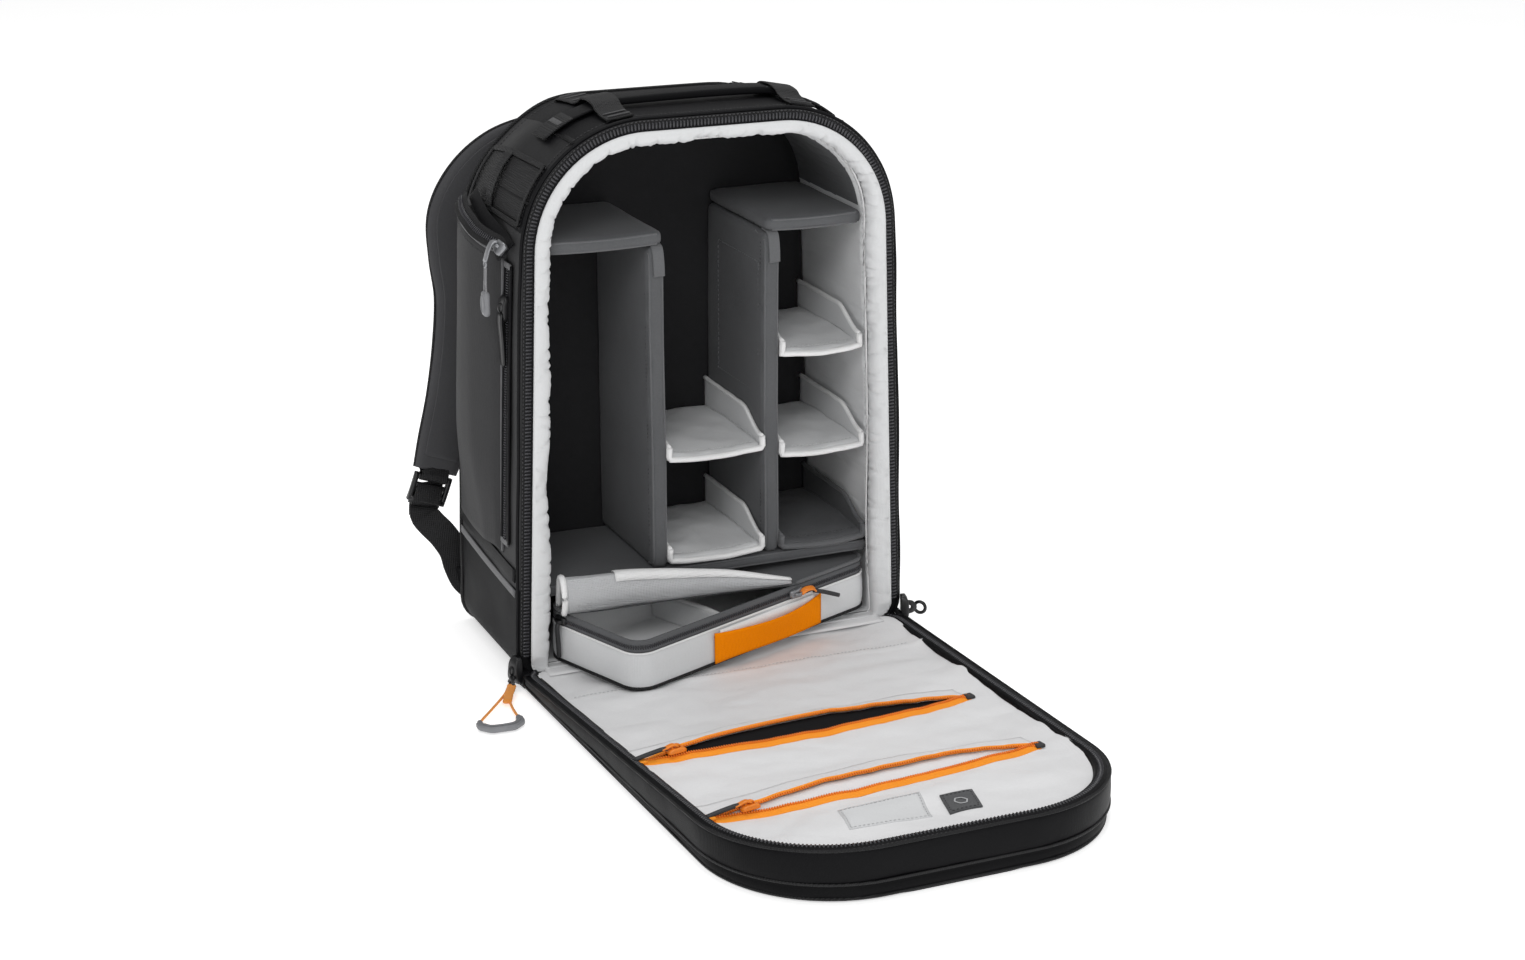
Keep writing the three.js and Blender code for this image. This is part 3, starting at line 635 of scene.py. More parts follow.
def soft_block(lo, hi, r, cells):
    """Verts and faces of a finely divided box with rounded edges."""
    lo, hi = np.asarray(lo, float), np.asarray(hi, float)
    index, verts, faces = {}, [], []

    def vertex(p):
        key = tuple(p)
        if key not in index:
            index[key] = len(verts)
            verts.append(lo + (hi - lo) * np.array(p, float) / cells)
        return index[key]

    cells = np.asarray(cells, int)
    for axis in range(3):
        u, v = [k for k in range(3) if k != axis]
        for end in (0, cells[axis]):
            for i in range(cells[u]):
                for j in range(cells[v]):
                    quad = []
                    for di, dj in ((0, 0), (1, 0), (1, 1), (0, 1)):
                        p = [0, 0, 0]
                        p[axis], p[u], p[v] = end, i + di, j + dj
                        quad.append(vertex(p))
                    faces.append(quad)
    verts = np.array(verts)
    r = np.minimum(np.broadcast_to(r, 3), (hi - lo) / 2 - 1e-3)
    core = np.clip(verts, lo + r, hi - r)
    d = (verts - core) / r
    length = np.linalg.norm(d, axis=1, keepdims=True)
    return core + np.where(length > 1e-9, d / np.maximum(length, 1e-9), 0) * r, faces


def weld(*parts):
    """Several (verts, faces) put together as one."""
    verts, faces = [], []
    for v, f in parts:
        faces += [[i + len(verts) for i in face] for face in f]
        verts += [tuple(p) for p in v]
    return np.array(verts), faces


# ---------- the body's outline ----------
def x_at(z):
    """Half the body's width at a height."""
    return HALF_LOW - math.tan(SLANT) * z


TOP_CX = x_at(TOP_Z - CORNER_R) - CORNER_R / math.cos(SLANT)
FOOT_CX = x_at(FOOT_R) - FOOT_R / math.cos(SLANT)


def power_arc(cx, cz, r, a0, a1, n, power=2.0):
    """An arc between two angles in degrees; a power over 2 makes it squarer."""
    a = np.radians(np.linspace(a0, a1, n))
    c, s = np.cos(a), np.sin(a)
    e = 2 / power
    return np.stack([cx + r * np.sign(c) * np.abs(c) ** e,
                     cz + r * np.sign(s) * np.abs(s) ** e], 1)


def half_outline(inset, boxy=2.0):
    """Right half, from the bottom's middle round to the top's middle, as (x, z)."""
    lean = math.degrees(SLANT)
    rf = max(FOOT_R - inset, 2)
    bottom = np.stack([np.linspace(0, FOOT_CX, 9)[:-1], np.full(8, FOOT_R - rf)], 1)
    heel = power_arc(FOOT_CX, FOOT_R, rf, -90, lean, 9)
    high = power_arc(TOP_CX, TOP_Z - CORNER_R, CORNER_R - inset, lean, 90, 21, boxy)
    side = heel[-1] + (high[0] - heel[-1]) * np.linspace(0, 1, 42)[1:-1, None]
    top = np.stack([np.linspace(TOP_CX, 0, 9)[1:], np.full(8, TOP_Z - inset)], 1)
    return np.vstack([bottom, heel, side, high, top])


def outline(inset, boxy=2.0):
    """The closed outline, from the bottom's middle over the right side and back."""
    right = half_outline(inset, boxy)
    left = right[::-1][1:-1] * [-1, 1]
    return np.vstack([right, left])


def arch(inset, low, boxy=2.0):
    """The outline above a height, from the left side's low end over to the right's."""
    right = half_outline(inset, boxy)[8:]
    k = int(np.argmax(right[:, 1] > low))
    if k:
        t = (low - right[k - 1, 1]) / (right[k, 1] - right[k - 1, 1])
        right = np.vstack([right[k - 1] + t * (right[k] - right[k - 1]), right[k:]])
    return np.vstack([right[:-1] * [-1, 1], right[::-1]])


def at_y(xz, y):
    """Points of an outline placed at a depth, or at one depth for each."""
    return np.stack([xz[:, 0], np.broadcast_to(np.asarray(y, float), len(xz)), xz[:, 1]], 1)


def boxy_at(y):
    """The corners are round at the front and squarer at the back."""
    return 2.0 + 0.22 * min(1, max(0, (y + 60) / 110))


def smooth(a, b, x):
    """A soft step from 0 at a to 1 at b."""
    t = np.clip((np.asarray(x, float) - a) / (b - a), 0, 1)
    return t * t * (3 - 2 * t)


def bulge(y, z):
    """How far the padded side walls swell."""
    high = np.sin(np.pi * np.clip(np.asarray(z, float) / 380, 0, 1))
    return 2.2 * high * np.cos(np.asarray(y, float) / 62)


def slump(points):
    """The top sinks towards the back, and its corners draw in."""
    p = np.array(points, float)
    back = smooth(0, 86, p[..., 1])
    corner = np.exp(-((np.abs(p[..., 0]) - 128) / 40) ** 2)
    rise = smooth(340, 430, p[..., 2])
    draw = smooth(345, 400, p[..., 2]) * corner * np.sign(p[..., 0])
    p[..., 2] -= back * rise * (6.0 + 3.5 * corner)
    p[..., 0] -= back * draw * 7.5
    return p


HALVES = {}


def skin(y, z, out=0.0, side=-1):
    """A point over the body's side, so far outside it."""
    key = round(boxy_at(y), 3)
    if key not in HALVES:
        HALVES[key] = half_outline(0, key)[8:]
    half = HALVES[key]
    x = np.interp(z, half[:, 1], half[:, 0])
    dx = np.interp(z + 1, half[:, 1], half[:, 0]) - np.interp(z - 1, half[:, 1], half[:, 0])
    n = np.array([2.0, -dx]) / math.hypot(2.0, dx)
    far = out + float(bulge(y, z))
    return slump([side * (x + n[0] * far), y, z + n[1] * far])


def slab(grid, thick):
    """Verts and faces of a sheet with a thickness, under a grid of points."""
    g = np.asarray(grid, float)
    n = normalise(np.cross(np.gradient(g, axis=0), np.gradient(g, axis=1)))
    return between(g, g - n * thick)


def between(top, bottom):
    """Verts and faces of the solid between two grids of points."""
    nu, nv, _ = top.shape
    k = nu * nv
    faces = grid_faces(nu, nv) + grid_faces(nu, nv, start=k)
    rim = ([i * nv for i in range(nu)] + [(nu - 1) * nv + j for j in range(1, nv)]
           + [i * nv + nv - 1 for i in range(nu - 2, -1, -1)] + [j for j in range(nv - 2, 0, -1)])
    faces += [[a, b, b + k, a + k] for a, b in zip(rim, rim[1:] + rim[:1])]
    return np.vstack([top.reshape(-1, 3), bottom.reshape(-1, 3)]), faces


def on_flap(x, h, length):
    """A point of the open flap: across, over the zip's plane, and along from the hinge."""
    a = math.pi / 2 - FLAP_RISE
    x, h, length = np.broadcast_arrays(*(np.asarray(v, float) for v in (x, h, length)))
    return np.stack([x, FRONT_Y + h * math.cos(a) - length * math.sin(a),
                     HINGE_Z + h * math.sin(a) + length * math.cos(a)], -1)


def over_floor(x, z, length):
    """A point of the open flap at a height over the floor."""
    a = math.pi / 2 - FLAP_RISE
    z, length = np.broadcast_arrays(np.asarray(z, float), np.asarray(length, float))
    return on_flap(x, (z - HINGE_Z - length * math.cos(a)) / math.sin(a), length)


def in_pouch(u, v, z):
    """A point given in the pouch's own frame."""
    u, v, z = np.broadcast_arrays(*(np.asarray(k, float) for k in (u, v, z)))
    ct, st = math.cos(POUCH_TILT), math.sin(POUCH_TILT)
    cy, sy = math.cos(POUCH_YAW), math.sin(POUCH_YAW)
    u, z = u * ct - z * st, u * st + z * ct
    return np.stack([147.5 + u * cy - v * sy, FRONT_Y + 11 + u * sy + v * cy, z], -1)


def direction(frame, v):
    """A direction of the flap's or the pouch's frame."""
    v = np.asarray(v, float)
    return frame(*v) - frame(0, 0, 0)


UP_X, UP_Y, UP_Z = np.eye(3)


def turn_angles(count):
    """Angles of so many even steps round a ring."""
    return np.linspace(0, 2 * math.pi, count + 1)[:-1]


# ---------- free cords ----------
def metres(points):
    """Points in metres, as plain tuples."""
    return [tuple(c * MM for c in p) for p in points]


def path_length(points):
    """How long a path is."""
    return float(np.linalg.norm(np.diff(points, axis=0), axis=1).sum())


def free_cord(name, route, diameter, material, body, node, pieces):
    """A limp cord along its route, declared with the pieces that it carries."""
    path = resample(spline(route, 10), 1.5)
    piece = sweep(name, path, circle(diameter / 2, 10), UP_Z + [0.01, 0, 0], material, body,
                  "zip_orange" if "orange" in name else "plastic_grey")
    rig.replaces(piece, node)
    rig.cord(piece, exit=metres([path[0]])[0], length=path_length(path) * MM,
            diameter=diameter * MM, far_end="object", stiffness="limp", lay="loose",
            path=metres(path), with_pieces=pieces)


def cloth_sheet(piece, grid, held, rests_on, pieces=()):
    """Declare a sheet, its cut size and area measured over its own grid of points."""
    g = np.asarray(grid, float) * MM
    width = float(np.linalg.norm(np.diff(g, axis=0), axis=2).sum(0).max())
    length = float(np.linalg.norm(np.diff(g, axis=1), axis=2).sum(1).max())
    cells = np.cross(g[1:, :-1] - g[:-1, :-1], g[:-1, 1:] - g[:-1, :-1])
    area = min(float(np.linalg.norm(cells, axis=2).sum()), width * length)
    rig.sheet(piece, flat=(width, length), area=area, held=held, rests_on=rests_on,
             with_pieces=list(pieces))


PULL_ROUTE = [
    [-183, -86, 8.5], [-186.5, -90.5, 7], [-193, -98.5, 5.2], [-202, -109, 4.3],
    [-212, -121, 3.9], [-221, -132, 3.8], [-226.2, -139.6, 3.8], [-227.2, -145.5, 3.8],
    [-221.5, -152.3, 3.8], [-212, -154.5, 3.8], [-202.5, -153.5, 3.8], [-196, -148.5, 3.8],
    [-194.4, -141, 3.8], [-193.8, -131, 3.8], [-192.6, -119, 3.8], [-190.8, -108, 4],
    [-187.6, -98.5, 4.6], [-184.6, -92, 5.6], [-181.2, -88.6, 6.9],
]
SIDE_ROUTE = [
    [-182.4, -55.1, 347], [-182.6, -55.2, 341], [-182.9, -55.3, 335], [-183.1, -55.8, 329],
    [-183.1, -56.4, 323], [-183.1, -56.5, 317], [-183.1, -55.6, 313.6], [-183.1, -53.5, 312.2],
    [-183.1, -51.4, 313.6], [-183.1, -50.5, 317], [-183.1, -50.6, 323], [-183.1, -51.2, 329],
    [-182.9, -51.7, 335], [-182.6, -51.8, 341], [-182.4, -51.9, 347],
]


def pull_grip():
    """A moulded hook with flat facets; the cord runs through it."""
    spine = resample([[-226.6, -141, 3.8], [-226.6, -146.5, 3.8], [-220, -153.6, 3.8],
                      [-203, -154.6, 3.8], [-195, -148.5, 3.8], [-194.4, -141.6, 3.8]], 1.6)
    t = np.linspace(-1, 1, len(spine))
    profile = np.array([rrect(6.6 - 0.8 * k * k, 5.0 - 0.5 * k * k, 1.3,
                              lift=-2.5 + 0.25 * k * k) for k in t])
    grip = sweep("pull_grip_left_body", spine, profile, UP_Z, GRIP_GREY, "main_pull_left",
                 "plastic_grey")
    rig.replaces(grip, "pull_grip_left")
    # a raised rib along the hook's middle, and two ferrules where the cord goes in
    rib = spline([[-225, -147, 6.2], [-219.5, -153, 6.3], [-203.5, -153.9, 6.3],
                  [-196, -148.5, 6.2]])
    sweep("pull_grip_left_rib", rib, rrect(2.4, 0.7), UP_Z, GRIP_GREY, "main_pull_left")
    for k, (a, b) in enumerate((([-226.5, -142, 3.8], [-225.3, -137.4, 3.8]),
                                ([-194.4, -143, 3.8], [-194.2, -139, 3.8]))):
        sweep(f"pull_grip_left_ferrule_{k}", resample([a, b], 1), circle(2.3, 12), UP_Z,
              GRIP_GREY, "main_pull_left")
    return grip


def side_toggle():
    """The small grip on the side cord's loop, with its rim."""
    verts, faces = soft_block([-185.8, -58.6, 306], [-180.4, -48.4, 326], [2.4, 2.8, 3],
                              [4, 7, 12])
    toggle = make("side_pull_toggle_body", verts, faces, GRIP_GREY, "side_pull", "plastic_grey")
    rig.replaces(toggle, "side_pull_toggle")
    ring = [[-183.1, -53.5 + 3.6 * math.cos(a), 316 + 6.8 * math.sin(a)]
            for a in turn_angles(24)]
    sweep("side_pull_toggle_rim", np.array(ring) - [2.6, 0, 0], circle(0.7, 8), UP_X, GRIP_GREY,
          "side_pull", closed=True)
    return toggle


grip = pull_grip()
sleeve_line = spline([[-182.5, -88, 8.2], [-185.0, -92.5, 7.0], [-188.2, -98, 6.4],
                      [-191.0, -104, 5.4], [-193.5, -109.5, 4.8]], 4)
sleeve = sweep("pull_cord_left_sleeve", sleeve_line, rrect(7.4, 3.6, 1.6, lift=-1.8), UP_Z,
               CORD_ORANGE, "main_pull_left", "zip_orange")
free_cord("orange_pull_cord", PULL_ROUTE, 2.2, CORD_ORANGE, "main_pull_left", "pull_cord_left",
          [grip, sleeve])
toggle = side_toggle()
free_cord("grey_side_cord", SIDE_ROUTE, 1.5, CORD_GREY, "side_pull", "side_pull_cord", [toggle])


# ---------- body shell ----------
def ring_stack(profile, shape):
    """Rings round the whole outline, one for each (y, inset) of a profile."""
    return np.array([at_y(shape(inset, boxy_at(y)), y) for y, inset in profile])


def swell(points, seed=0.0):
    """Padded walls swell outwards and rumple a little."""
    flat = points.reshape(-1, 3)
    side = smooth(30, 90, np.abs(flat[:, 0])) * smooth(20, 60, flat[:, 2])
    side *= 1 - smooth(375, 420, flat[:, 2])
    far = bulge(flat[:, 1], flat[:, 2]) * side + rumple(flat, 55, 0.7, seed, (1, 1.4, 1))
    roof = smooth(430, 450, flat[:, 2]) * 0.02
    out = np.stack([np.sign(flat[:, 0]) * side, 0 * side, roof], 1)
    return slump(flat + out * far[:, None]).reshape(points.shape)


def paint_faces(piece, choose):
    """One material slot for each face, by its centre in millimetres."""
    for face in piece.data.polygons:
        face.material_index = choose(*(c * 1000 for c in face.center))


CREASES = (57, 24)


def body_shell():
    """The outer fabric: lip, walls and back edge in one, with the corner creases, whose
    angles in degrees go round the top corner."""
    lip = [(-72.4, 11), (-73.0, 7), (-72.9, 3.4), (-72.2, 1.2), (-70.6, 0.2), (-68, 0)]
    run = [(y, 0) for y in np.linspace(-62, 66, 19)]
    back = [(70, 0.1), (73.5, 0.5), (76.3, 2.2), (76.4, 8), (70, 10.5), (-64, 10.5)]
    rings = swell(ring_stack(lip + run + back, outline), 1.0)
    shell = make("body_shell", *rings_to_loop(rings),
                 [SHELL_BLACK, SHELL_GREY, SHELL_DARK, SHELL_SATIN])

    def choose(x, y, z):
        if z < 80 and abs(x) > 60 or z < 30:
            return 2
        if z < 370 and abs(x) > 100:
            return 1
        rise = math.degrees(math.atan2(z - 353, abs(x) - TOP_CX))
        return 3 if CREASES[1] < rise < CREASES[0] else 0

    paint_faces(shell, choose)
    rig.replaces(shell, "side_panel_left", "side_panel_right", "top_panel", "base_panel")
    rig.slot(shell, "shell_black")
    for name, y, inset, r in (("front", -71.2, 0.4, 1.5), ("back", 76.7, 0.6, 1.9)):
        path = at_y(outline(inset - 0.3, boxy_at(y)), y)
        sweep(f"body_piping_{name}", resample(swell(path, 1.0), 5, True), circle(r, 8), UP_Y,
              WEB if name == "back" else SHELL_BLACK, closed=True)
    # creases run from the back over to the front arch
    for side in (-1, 1):
        for k, a in enumerate(CREASES):
            ys = np.linspace(-70, 75, 30)
            e = math.radians(a)
            line = np.array([[side * (TOP_CX + CORNER_R * math.cos(e)), y,
                              TOP_Z - CORNER_R + CORNER_R * math.sin(e)] for y in ys])
            line = swell(line, 1.0) + [side * 0.5, 0, 0.5]
            sweep(f"corner_crease_{'lr'[side > 0]}_{k}", line, circle(1.15, 8),
                  [side * math.cos(e), 0, math.sin(e)], SHELL_BLACK)
    for y, seed in ((-62, 2), (58, 4)):
        row = swell(at_y(arch(-0.2, 372, boxy_at(y)), y), 1.0)
        stitches(f"top_seam_{seed}", row, row - [0, y, 300], THREAD_DARK)


def back_panel():
    """The black back panel with its piping."""
    rings = []
    for y, inset in ((76.9, 6), (77.1, 1.5), (78.5, 0.3), (82, 0), (84.8, 0.8), (86.2, 3.5),
                     (86.4, 12), (86.3, 40), (86.2, 70)):
        rings.append(at_y(outline(inset + 0.6, boxy_at(y)), y))
    rings = slump(rings)
    verts, faces = rings_to_solid(rings)
    panel = make("back_panel_shell", verts, faces, SHELL_BLACK, slot="shell_black")
    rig.replaces(panel, "back_panel")
    path = slump(at_y(outline(16, boxy_at(86)), 86.5))
    stitches("back_panel_stitches", np.vstack([path, path[:1]]), UP_Y, THREAD_DARK)


def back_pads():
    """Spacer-mesh pads with a channel between them, and a lumbar pad below."""
    parts = []
    for x0, x1, z0, z1 in ((-122, -14, 168, 392), (14, 122, 168, 392), (-118, 118, 46, 154)):
        nx, nz = max(8, int((x1 - x0) / 7)), int((z1 - z0) / 7)
        xs, zs = np.linspace(-1, 1, nx), np.linspace(-1, 1, nz)
        grid = np.zeros((nx, nz, 3))
        base = np.zeros((nx, nz, 3))
        for i, a in enumerate(xs):
            for j, b in enumerate(zs):
                k = 1 - 0.12 * abs(a) ** 3 * abs(b) ** 3
                x = (x0 + x1) / 2 + a * k * (x1 - x0) / 2
                z = (z0 + z1) / 2 + b * k * (z1 - z0) / 2
                edge = min(1, (1 - max(abs(a), abs(b))) * 5)
                high = 3 + 13.5 * math.sqrt(max(0, 1 - (1 - edge) ** 2))
                high -= 1.6 * (1 - abs(a)) * math.cos(b * 9)**8
                grid[i, j] = (x, 86.4 + high, z)
                base[i, j] = (x, 86.4, z)
        grid[..., 1] += rumple(grid, 40, 0.5).reshape(nx, nz) * (grid[..., 1] > 92)
        parts.append(between(grid, base))
    pads = make("back_pads", *weld(*parts), SPACER, slot="mesh_black")
    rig.replaces(pads, "back_pad")
    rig.padded(pads, 0.7)


def liner_shape(inset, boxy=2.0):
    """The liner's outline: its floor is lower than the walls' inset."""
    xz = outline(inset, boxy)
    floor = 6.3 + (inset - 12.3) * 0.59
    low = xz[:, 1] < 60
    xz[low, 1] = floor + (xz[low, 1] - inset) * (60 - floor) / (60 - inset)
    return xz


def rim_ring(inset, y):
    """The liner's outline at a depth; the rim is slimmer over the top."""
    ring = at_y(liner_shape(inset, boxy_at(y)), y)
    slim = at_y(liner_shape(9.6 + (inset - 9.6) * 0.78, boxy_at(y)), y)
    high = smooth(330, 420, ring[:, 2:]) * (inset > 14) * (y < -60)
    ring = ring * (1 - high) + slim * high
    low = np.exp(-((ring[:, 2] - 85) / 70) ** 2) * smooth(13, 24, inset) * smooth(-56, -66, y)
    ring[:, 0] -= 3.6 * low * np.sign(ring[:, 0]) * (np.abs(ring[:, 0]) > 100)
    return ring


def liner():
    """The pale padded liner: a puffy bound rim round the opening, and the inner walls."""
    profile = [(-72.0, 12.6), (-75.3, 12.3), (-75.8, 9.8), (-77.2, 9.6), (-78.6, 11.4),
               (-79.2, 14.2), (-79.0, 17), (-77.8, 20), (-75.2, 22.6), (-71.6, 24.2),
               (-68, 24.6), (-65.6, 22.6), (-63, 23.2)]
    profile += [(y, 22.7 + 0.5 * math.sin((y + 62) / 124 * math.pi))
                for y in np.linspace(-54, 60, 12)]
    profile += [(64.2, 22.6), (64.4, 13), (-60, 12.6)]
    # each ring is divided finely, so that the rim can carry wrinkles
    rings = []
    for y, inset in profile:
        ring = rim_ring(inset, y)
        loop = np.vstack([ring, ring[:1]])
        t = np.linspace(0, 1, len(loop))
        fine = np.linspace(0, 1, 7 * len(ring), endpoint=False)
        rings.append(np.stack([np.interp(fine, t, loop[:, k]) for k in range(3)], 1))
    rings = np.array(rings)
    flat = rings.reshape(-1, 3)
    low = 1 - smooth(13, 46, flat[:, 2])
    front = (flat[:, 1] < -62) & (flat[:, 1] > -80)
    flat[front, 1] = np.maximum(flat[front, 1], -74.6 * low[front] - 90 * (1 - low[front]))
    mid = np.array([0, 0, 215.0])
    away = normalise((flat - mid) * [1, 0, 1])
    crease = np.abs(rumple(flat, 13, 1.0, 8.0, (1, 0.35, 1)))
    puff = (rumple(flat, 26, 1.1, 3.0, (1, 0.3, 1)) + rumple(flat, 60, 1.2, 5.0)
            - 1.5 * np.exp(-(crease / 0.16) ** 2))
    # long upright folds low down, and slanting gathers all along the rim's inner seam
    foot = smooth(200, 60, flat[:, 2]) * smooth(8, 30, flat[:, 2]) * front
    puff += foot * rumple(flat, 17, 2.2, 11.0, (1, 0.2, 0.3))
    steps = np.linalg.norm(np.diff(rings[10], axis=0, prepend=rings[10][-1:]), axis=1)
    along = np.tile(np.cumsum(steps), len(rings))
    gather = np.sin(along * 2 * math.pi / 7.5 + flat[:, 1] * 0.5 + rumple(flat, 40, 2.5, 21.0))
    by_seam = np.exp(-((flat[:, 1] + 66.0) / 5.5) ** 2) * (1 - low)
    puff += 1.3 * gather * by_seam * (0.55 + rumple(flat, 30, 0.45, 23.0))
    strength = np.where(front, 1.0, 0.45) * (1 - low * 0.7) * (flat[:, 1] < 64)
    inner = np.repeat([inset > 13.5 for _, inset in profile], rings.shape[1])
    flat[inner] -= away[inner] * (puff * strength)[inner, None]
    lift = np.where(front & inner, puff * 0.7 * (1 - low), 0)
    flat[:, 1] -= lift
    rings = flat.reshape(rings.shape)
    split = 12
    for name, part in (("liner_padding", rings[split:]), ("liner_rim", rings[:split + 1])):
        shell = make(name, part.reshape(-1, 3),
                     grid_faces(len(part), part.shape[1], True, True), [PALE, DIVIDER],
                     slot="lining_pale")
        paint_faces(shell, lambda x, y, z: int(z > 366 and y > -50 and abs(x) > 60))
        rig.replaces(shell, "liner_wall")
        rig.padded(shell, 0.6)
    seam = sweep("liner_seam", resample(rim_ring(23.6, -65.2), 5, True), circle(0.7, 6), UP_Y,
                 BINDING_PALE, closed=True)
    # the puffy rim is pressed in when the flap is closed over it
    for piece in (shell, seam):
        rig.squash(piece, "flap_hinge", axis=(0, 1, 0), anchor=(0, -0.063, 0.2), keep=0.6)
    row = rim_ring(23.4, -60.5)
    row = row[row[:, 2] > 30]
    for side, part in (("left", row[row[:, 0] < 0]), ("right", row[row[:, 0] > 0])):
        part = part[np.argsort(part[:, 2])]
        stitches(f"liner_stitches_{side}", part, -normalise((part - mid) * [1, 0, 1]), THREAD_PALE)


def liner_back():
    """The back's dark quilted lining."""
    edge = liner_shape(21, boxy_at(64))
    rings = [at_y(edge * [s, 1] * [1, s] + [0, 215 * (1 - s)], 64.2)
             for s in (0.02, *np.linspace(0.1, 1, 12))]
    rings = np.array(rings)
    flat = rings.reshape(-1, 3)
    quilt = np.minimum(np.abs(np.sin(flat[:, 0] / 30)), np.abs(np.sin(flat[:, 2] / 34)))
    flat[:, 1] -= 2.2 * quilt ** 0.5 + rumple(flat, 40, 0.5)
    front = flat.reshape(rings.shape)
    rear = front.copy()
    rear[..., 1] = 70.8
    k = front.shape[0] * front.shape[1]
    faces = grid_faces(*front.shape[:2], closed_v=True)
    faces += grid_faces(*front.shape[:2], closed_v=True, start=k)
    m = front.shape[1]
    faces += [[k - m + i, k - m + (i + 1) % m, 2 * k - m + (i + 1) % m, 2 * k - m + i]
              for i in range(m)]
    faces += [list(range(m)), list(range(k, k + m))]
    back = make("liner_back_quilted", np.vstack([flat, rear.reshape(-1, 3)]), faces, BACK_LINING,
                slot="divider_grey")
    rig.replaces(back, "liner_back")


def body_zip():
    """Half of the main zip, round the opening: tape and coil teeth."""
    path = resample(at_y(arch(6.6, 26), -74.0), 4)
    tape = sweep("body_zip_tape", path, rrect(11, 1.2, lift=-0.7), -UP_Y, TAPE, slot="zip_black")
    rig.replaces(tape, "body_zip_track")
    inner = resample(at_y(arch(6.2, 26), -74.3), 4)
    zip_teeth("body_zip_teeth", inner, -UP_Y, 5.6, TEETH, pitch=2.9, high=1.1)
    row = at_y(arch(1.9, 30), -74.7)
    stitches("body_zip_stitches", row, -UP_Y, THREAD_DARK)


body_shell()
back_panel()
back_pads()
liner()
liner_back()
body_zip()


# ---------- side pockets, their zips and the attachment panels ----------
def skin_path(points, side=-1, step=4.0):
    """A line over the side wall through (y, z, out) points."""
    line = resample(np.asarray(points, float), step)
    path = np.array([skin(y, z, out, side) for y, z, out in line])
    normals = np.array([skin(y, z, out + 1, side) for y, z, out in line]) - path
    return path, normals


def pocket_edge(y, left=True):
    """Height of a side pocket's upper edge, rising towards the back."""
    return (350 + (min(y, 41) + 53) * 0.245 - max(0, y - 41) * 0.5) if left else 364.0


def pocket_bulge(t, s, left=True):
    """Distance from the wall: t from front to back, s from the foot to the upper edge."""
    front = 3.2 if left else 2.0
    full = 15.6 if left else 17.0
    hump = math.sin(math.pi * min(1, max(0, t)) ** 0.8) ** 0.7
    rise = float(0.42 + 0.58 * smooth(0, 0.35, s))
    return front + (full * hump + 2.2 * t * (1 - t) * 4 * s) * rise


def side_pocket(side):
    """The stretch pocket low on a side."""
    left = side < 0
    word = "left" if left else "right"
    y0, y1 = (-40.5, 66) if left else (-52, 66)
    nu, nv = 34, 44
    top, base = np.zeros((nu, nv, 3)), np.zeros((nu, nv, 3))
    for i in range(nu):
        t = i / (nu - 1)
        y = y0 + (y1 - y0) * t
        for j in range(nv):
            s = j / (nv - 1)
            z = 104 + (pocket_edge(y, left) - 104) * s
            out = pocket_bulge(t, s, left)
            out += 0.9 * noise.noise(Vector((y * 0.02, z * 0.012, 7.0 * side)))
            out += 1.1 * math.exp(-((t - 0.2 - 0.15 * s) / 0.08) ** 2) * (1 - s)
            if i in (0, nu - 1) or j == 0:
                out = 0.6
            top[i, j] = skin(y, z, out, side)
            base[i, j] = skin(y, z, -0.8, side)
    piece = make(f"side_pocket_{word}_fabric", *between(top, base), SHELL_GREY, slot="shell_grey")
    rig.replaces(piece, f"side_pocket_{word}")
    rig.padded(piece, 0.3)
    # piping up the front seam, over the upper edge and down the back seam
    edge = [(y0 + 0.5, 106, 1.4), (y0 + 0.5, pocket_edge(y0, left) - 6, 3.4 if left else 2.4)]
    path, normals = skin_path(edge, side)
    sweep(f"pocket_{word}_front_piping", path, circle(1.3, 8), normals, PIPING_GREY)
    line = []
    for y in np.linspace(y0, y1, 22):
        t = (y - y0) / (y1 - y0)
        line.append((y, pocket_edge(y, left) - 0.8, pocket_bulge(t, 1, left) if 0 < t < 1 else 1))
    path, normals = skin_path(line, side, 5)
    sweep(f"pocket_{word}_top_piping", path, circle(1.5, 8), normals, PIPING_GREY)
    path, normals = skin_path([(y1, 106, 0.8), (y1, pocket_edge(y1, left) - 2, 0.8)], side)
    sweep(f"pocket_{word}_back_piping", path, circle(1.3, 8), normals, SHELL_BLACK)
    inner = [(a, b - 7, c + 0.25) for a, b, c in line[3:-2]]
    path, normals = skin_path(inner, side)
    stitches(f"pocket_{word}_stitches", path, normals, THREAD_DARK)
    return line


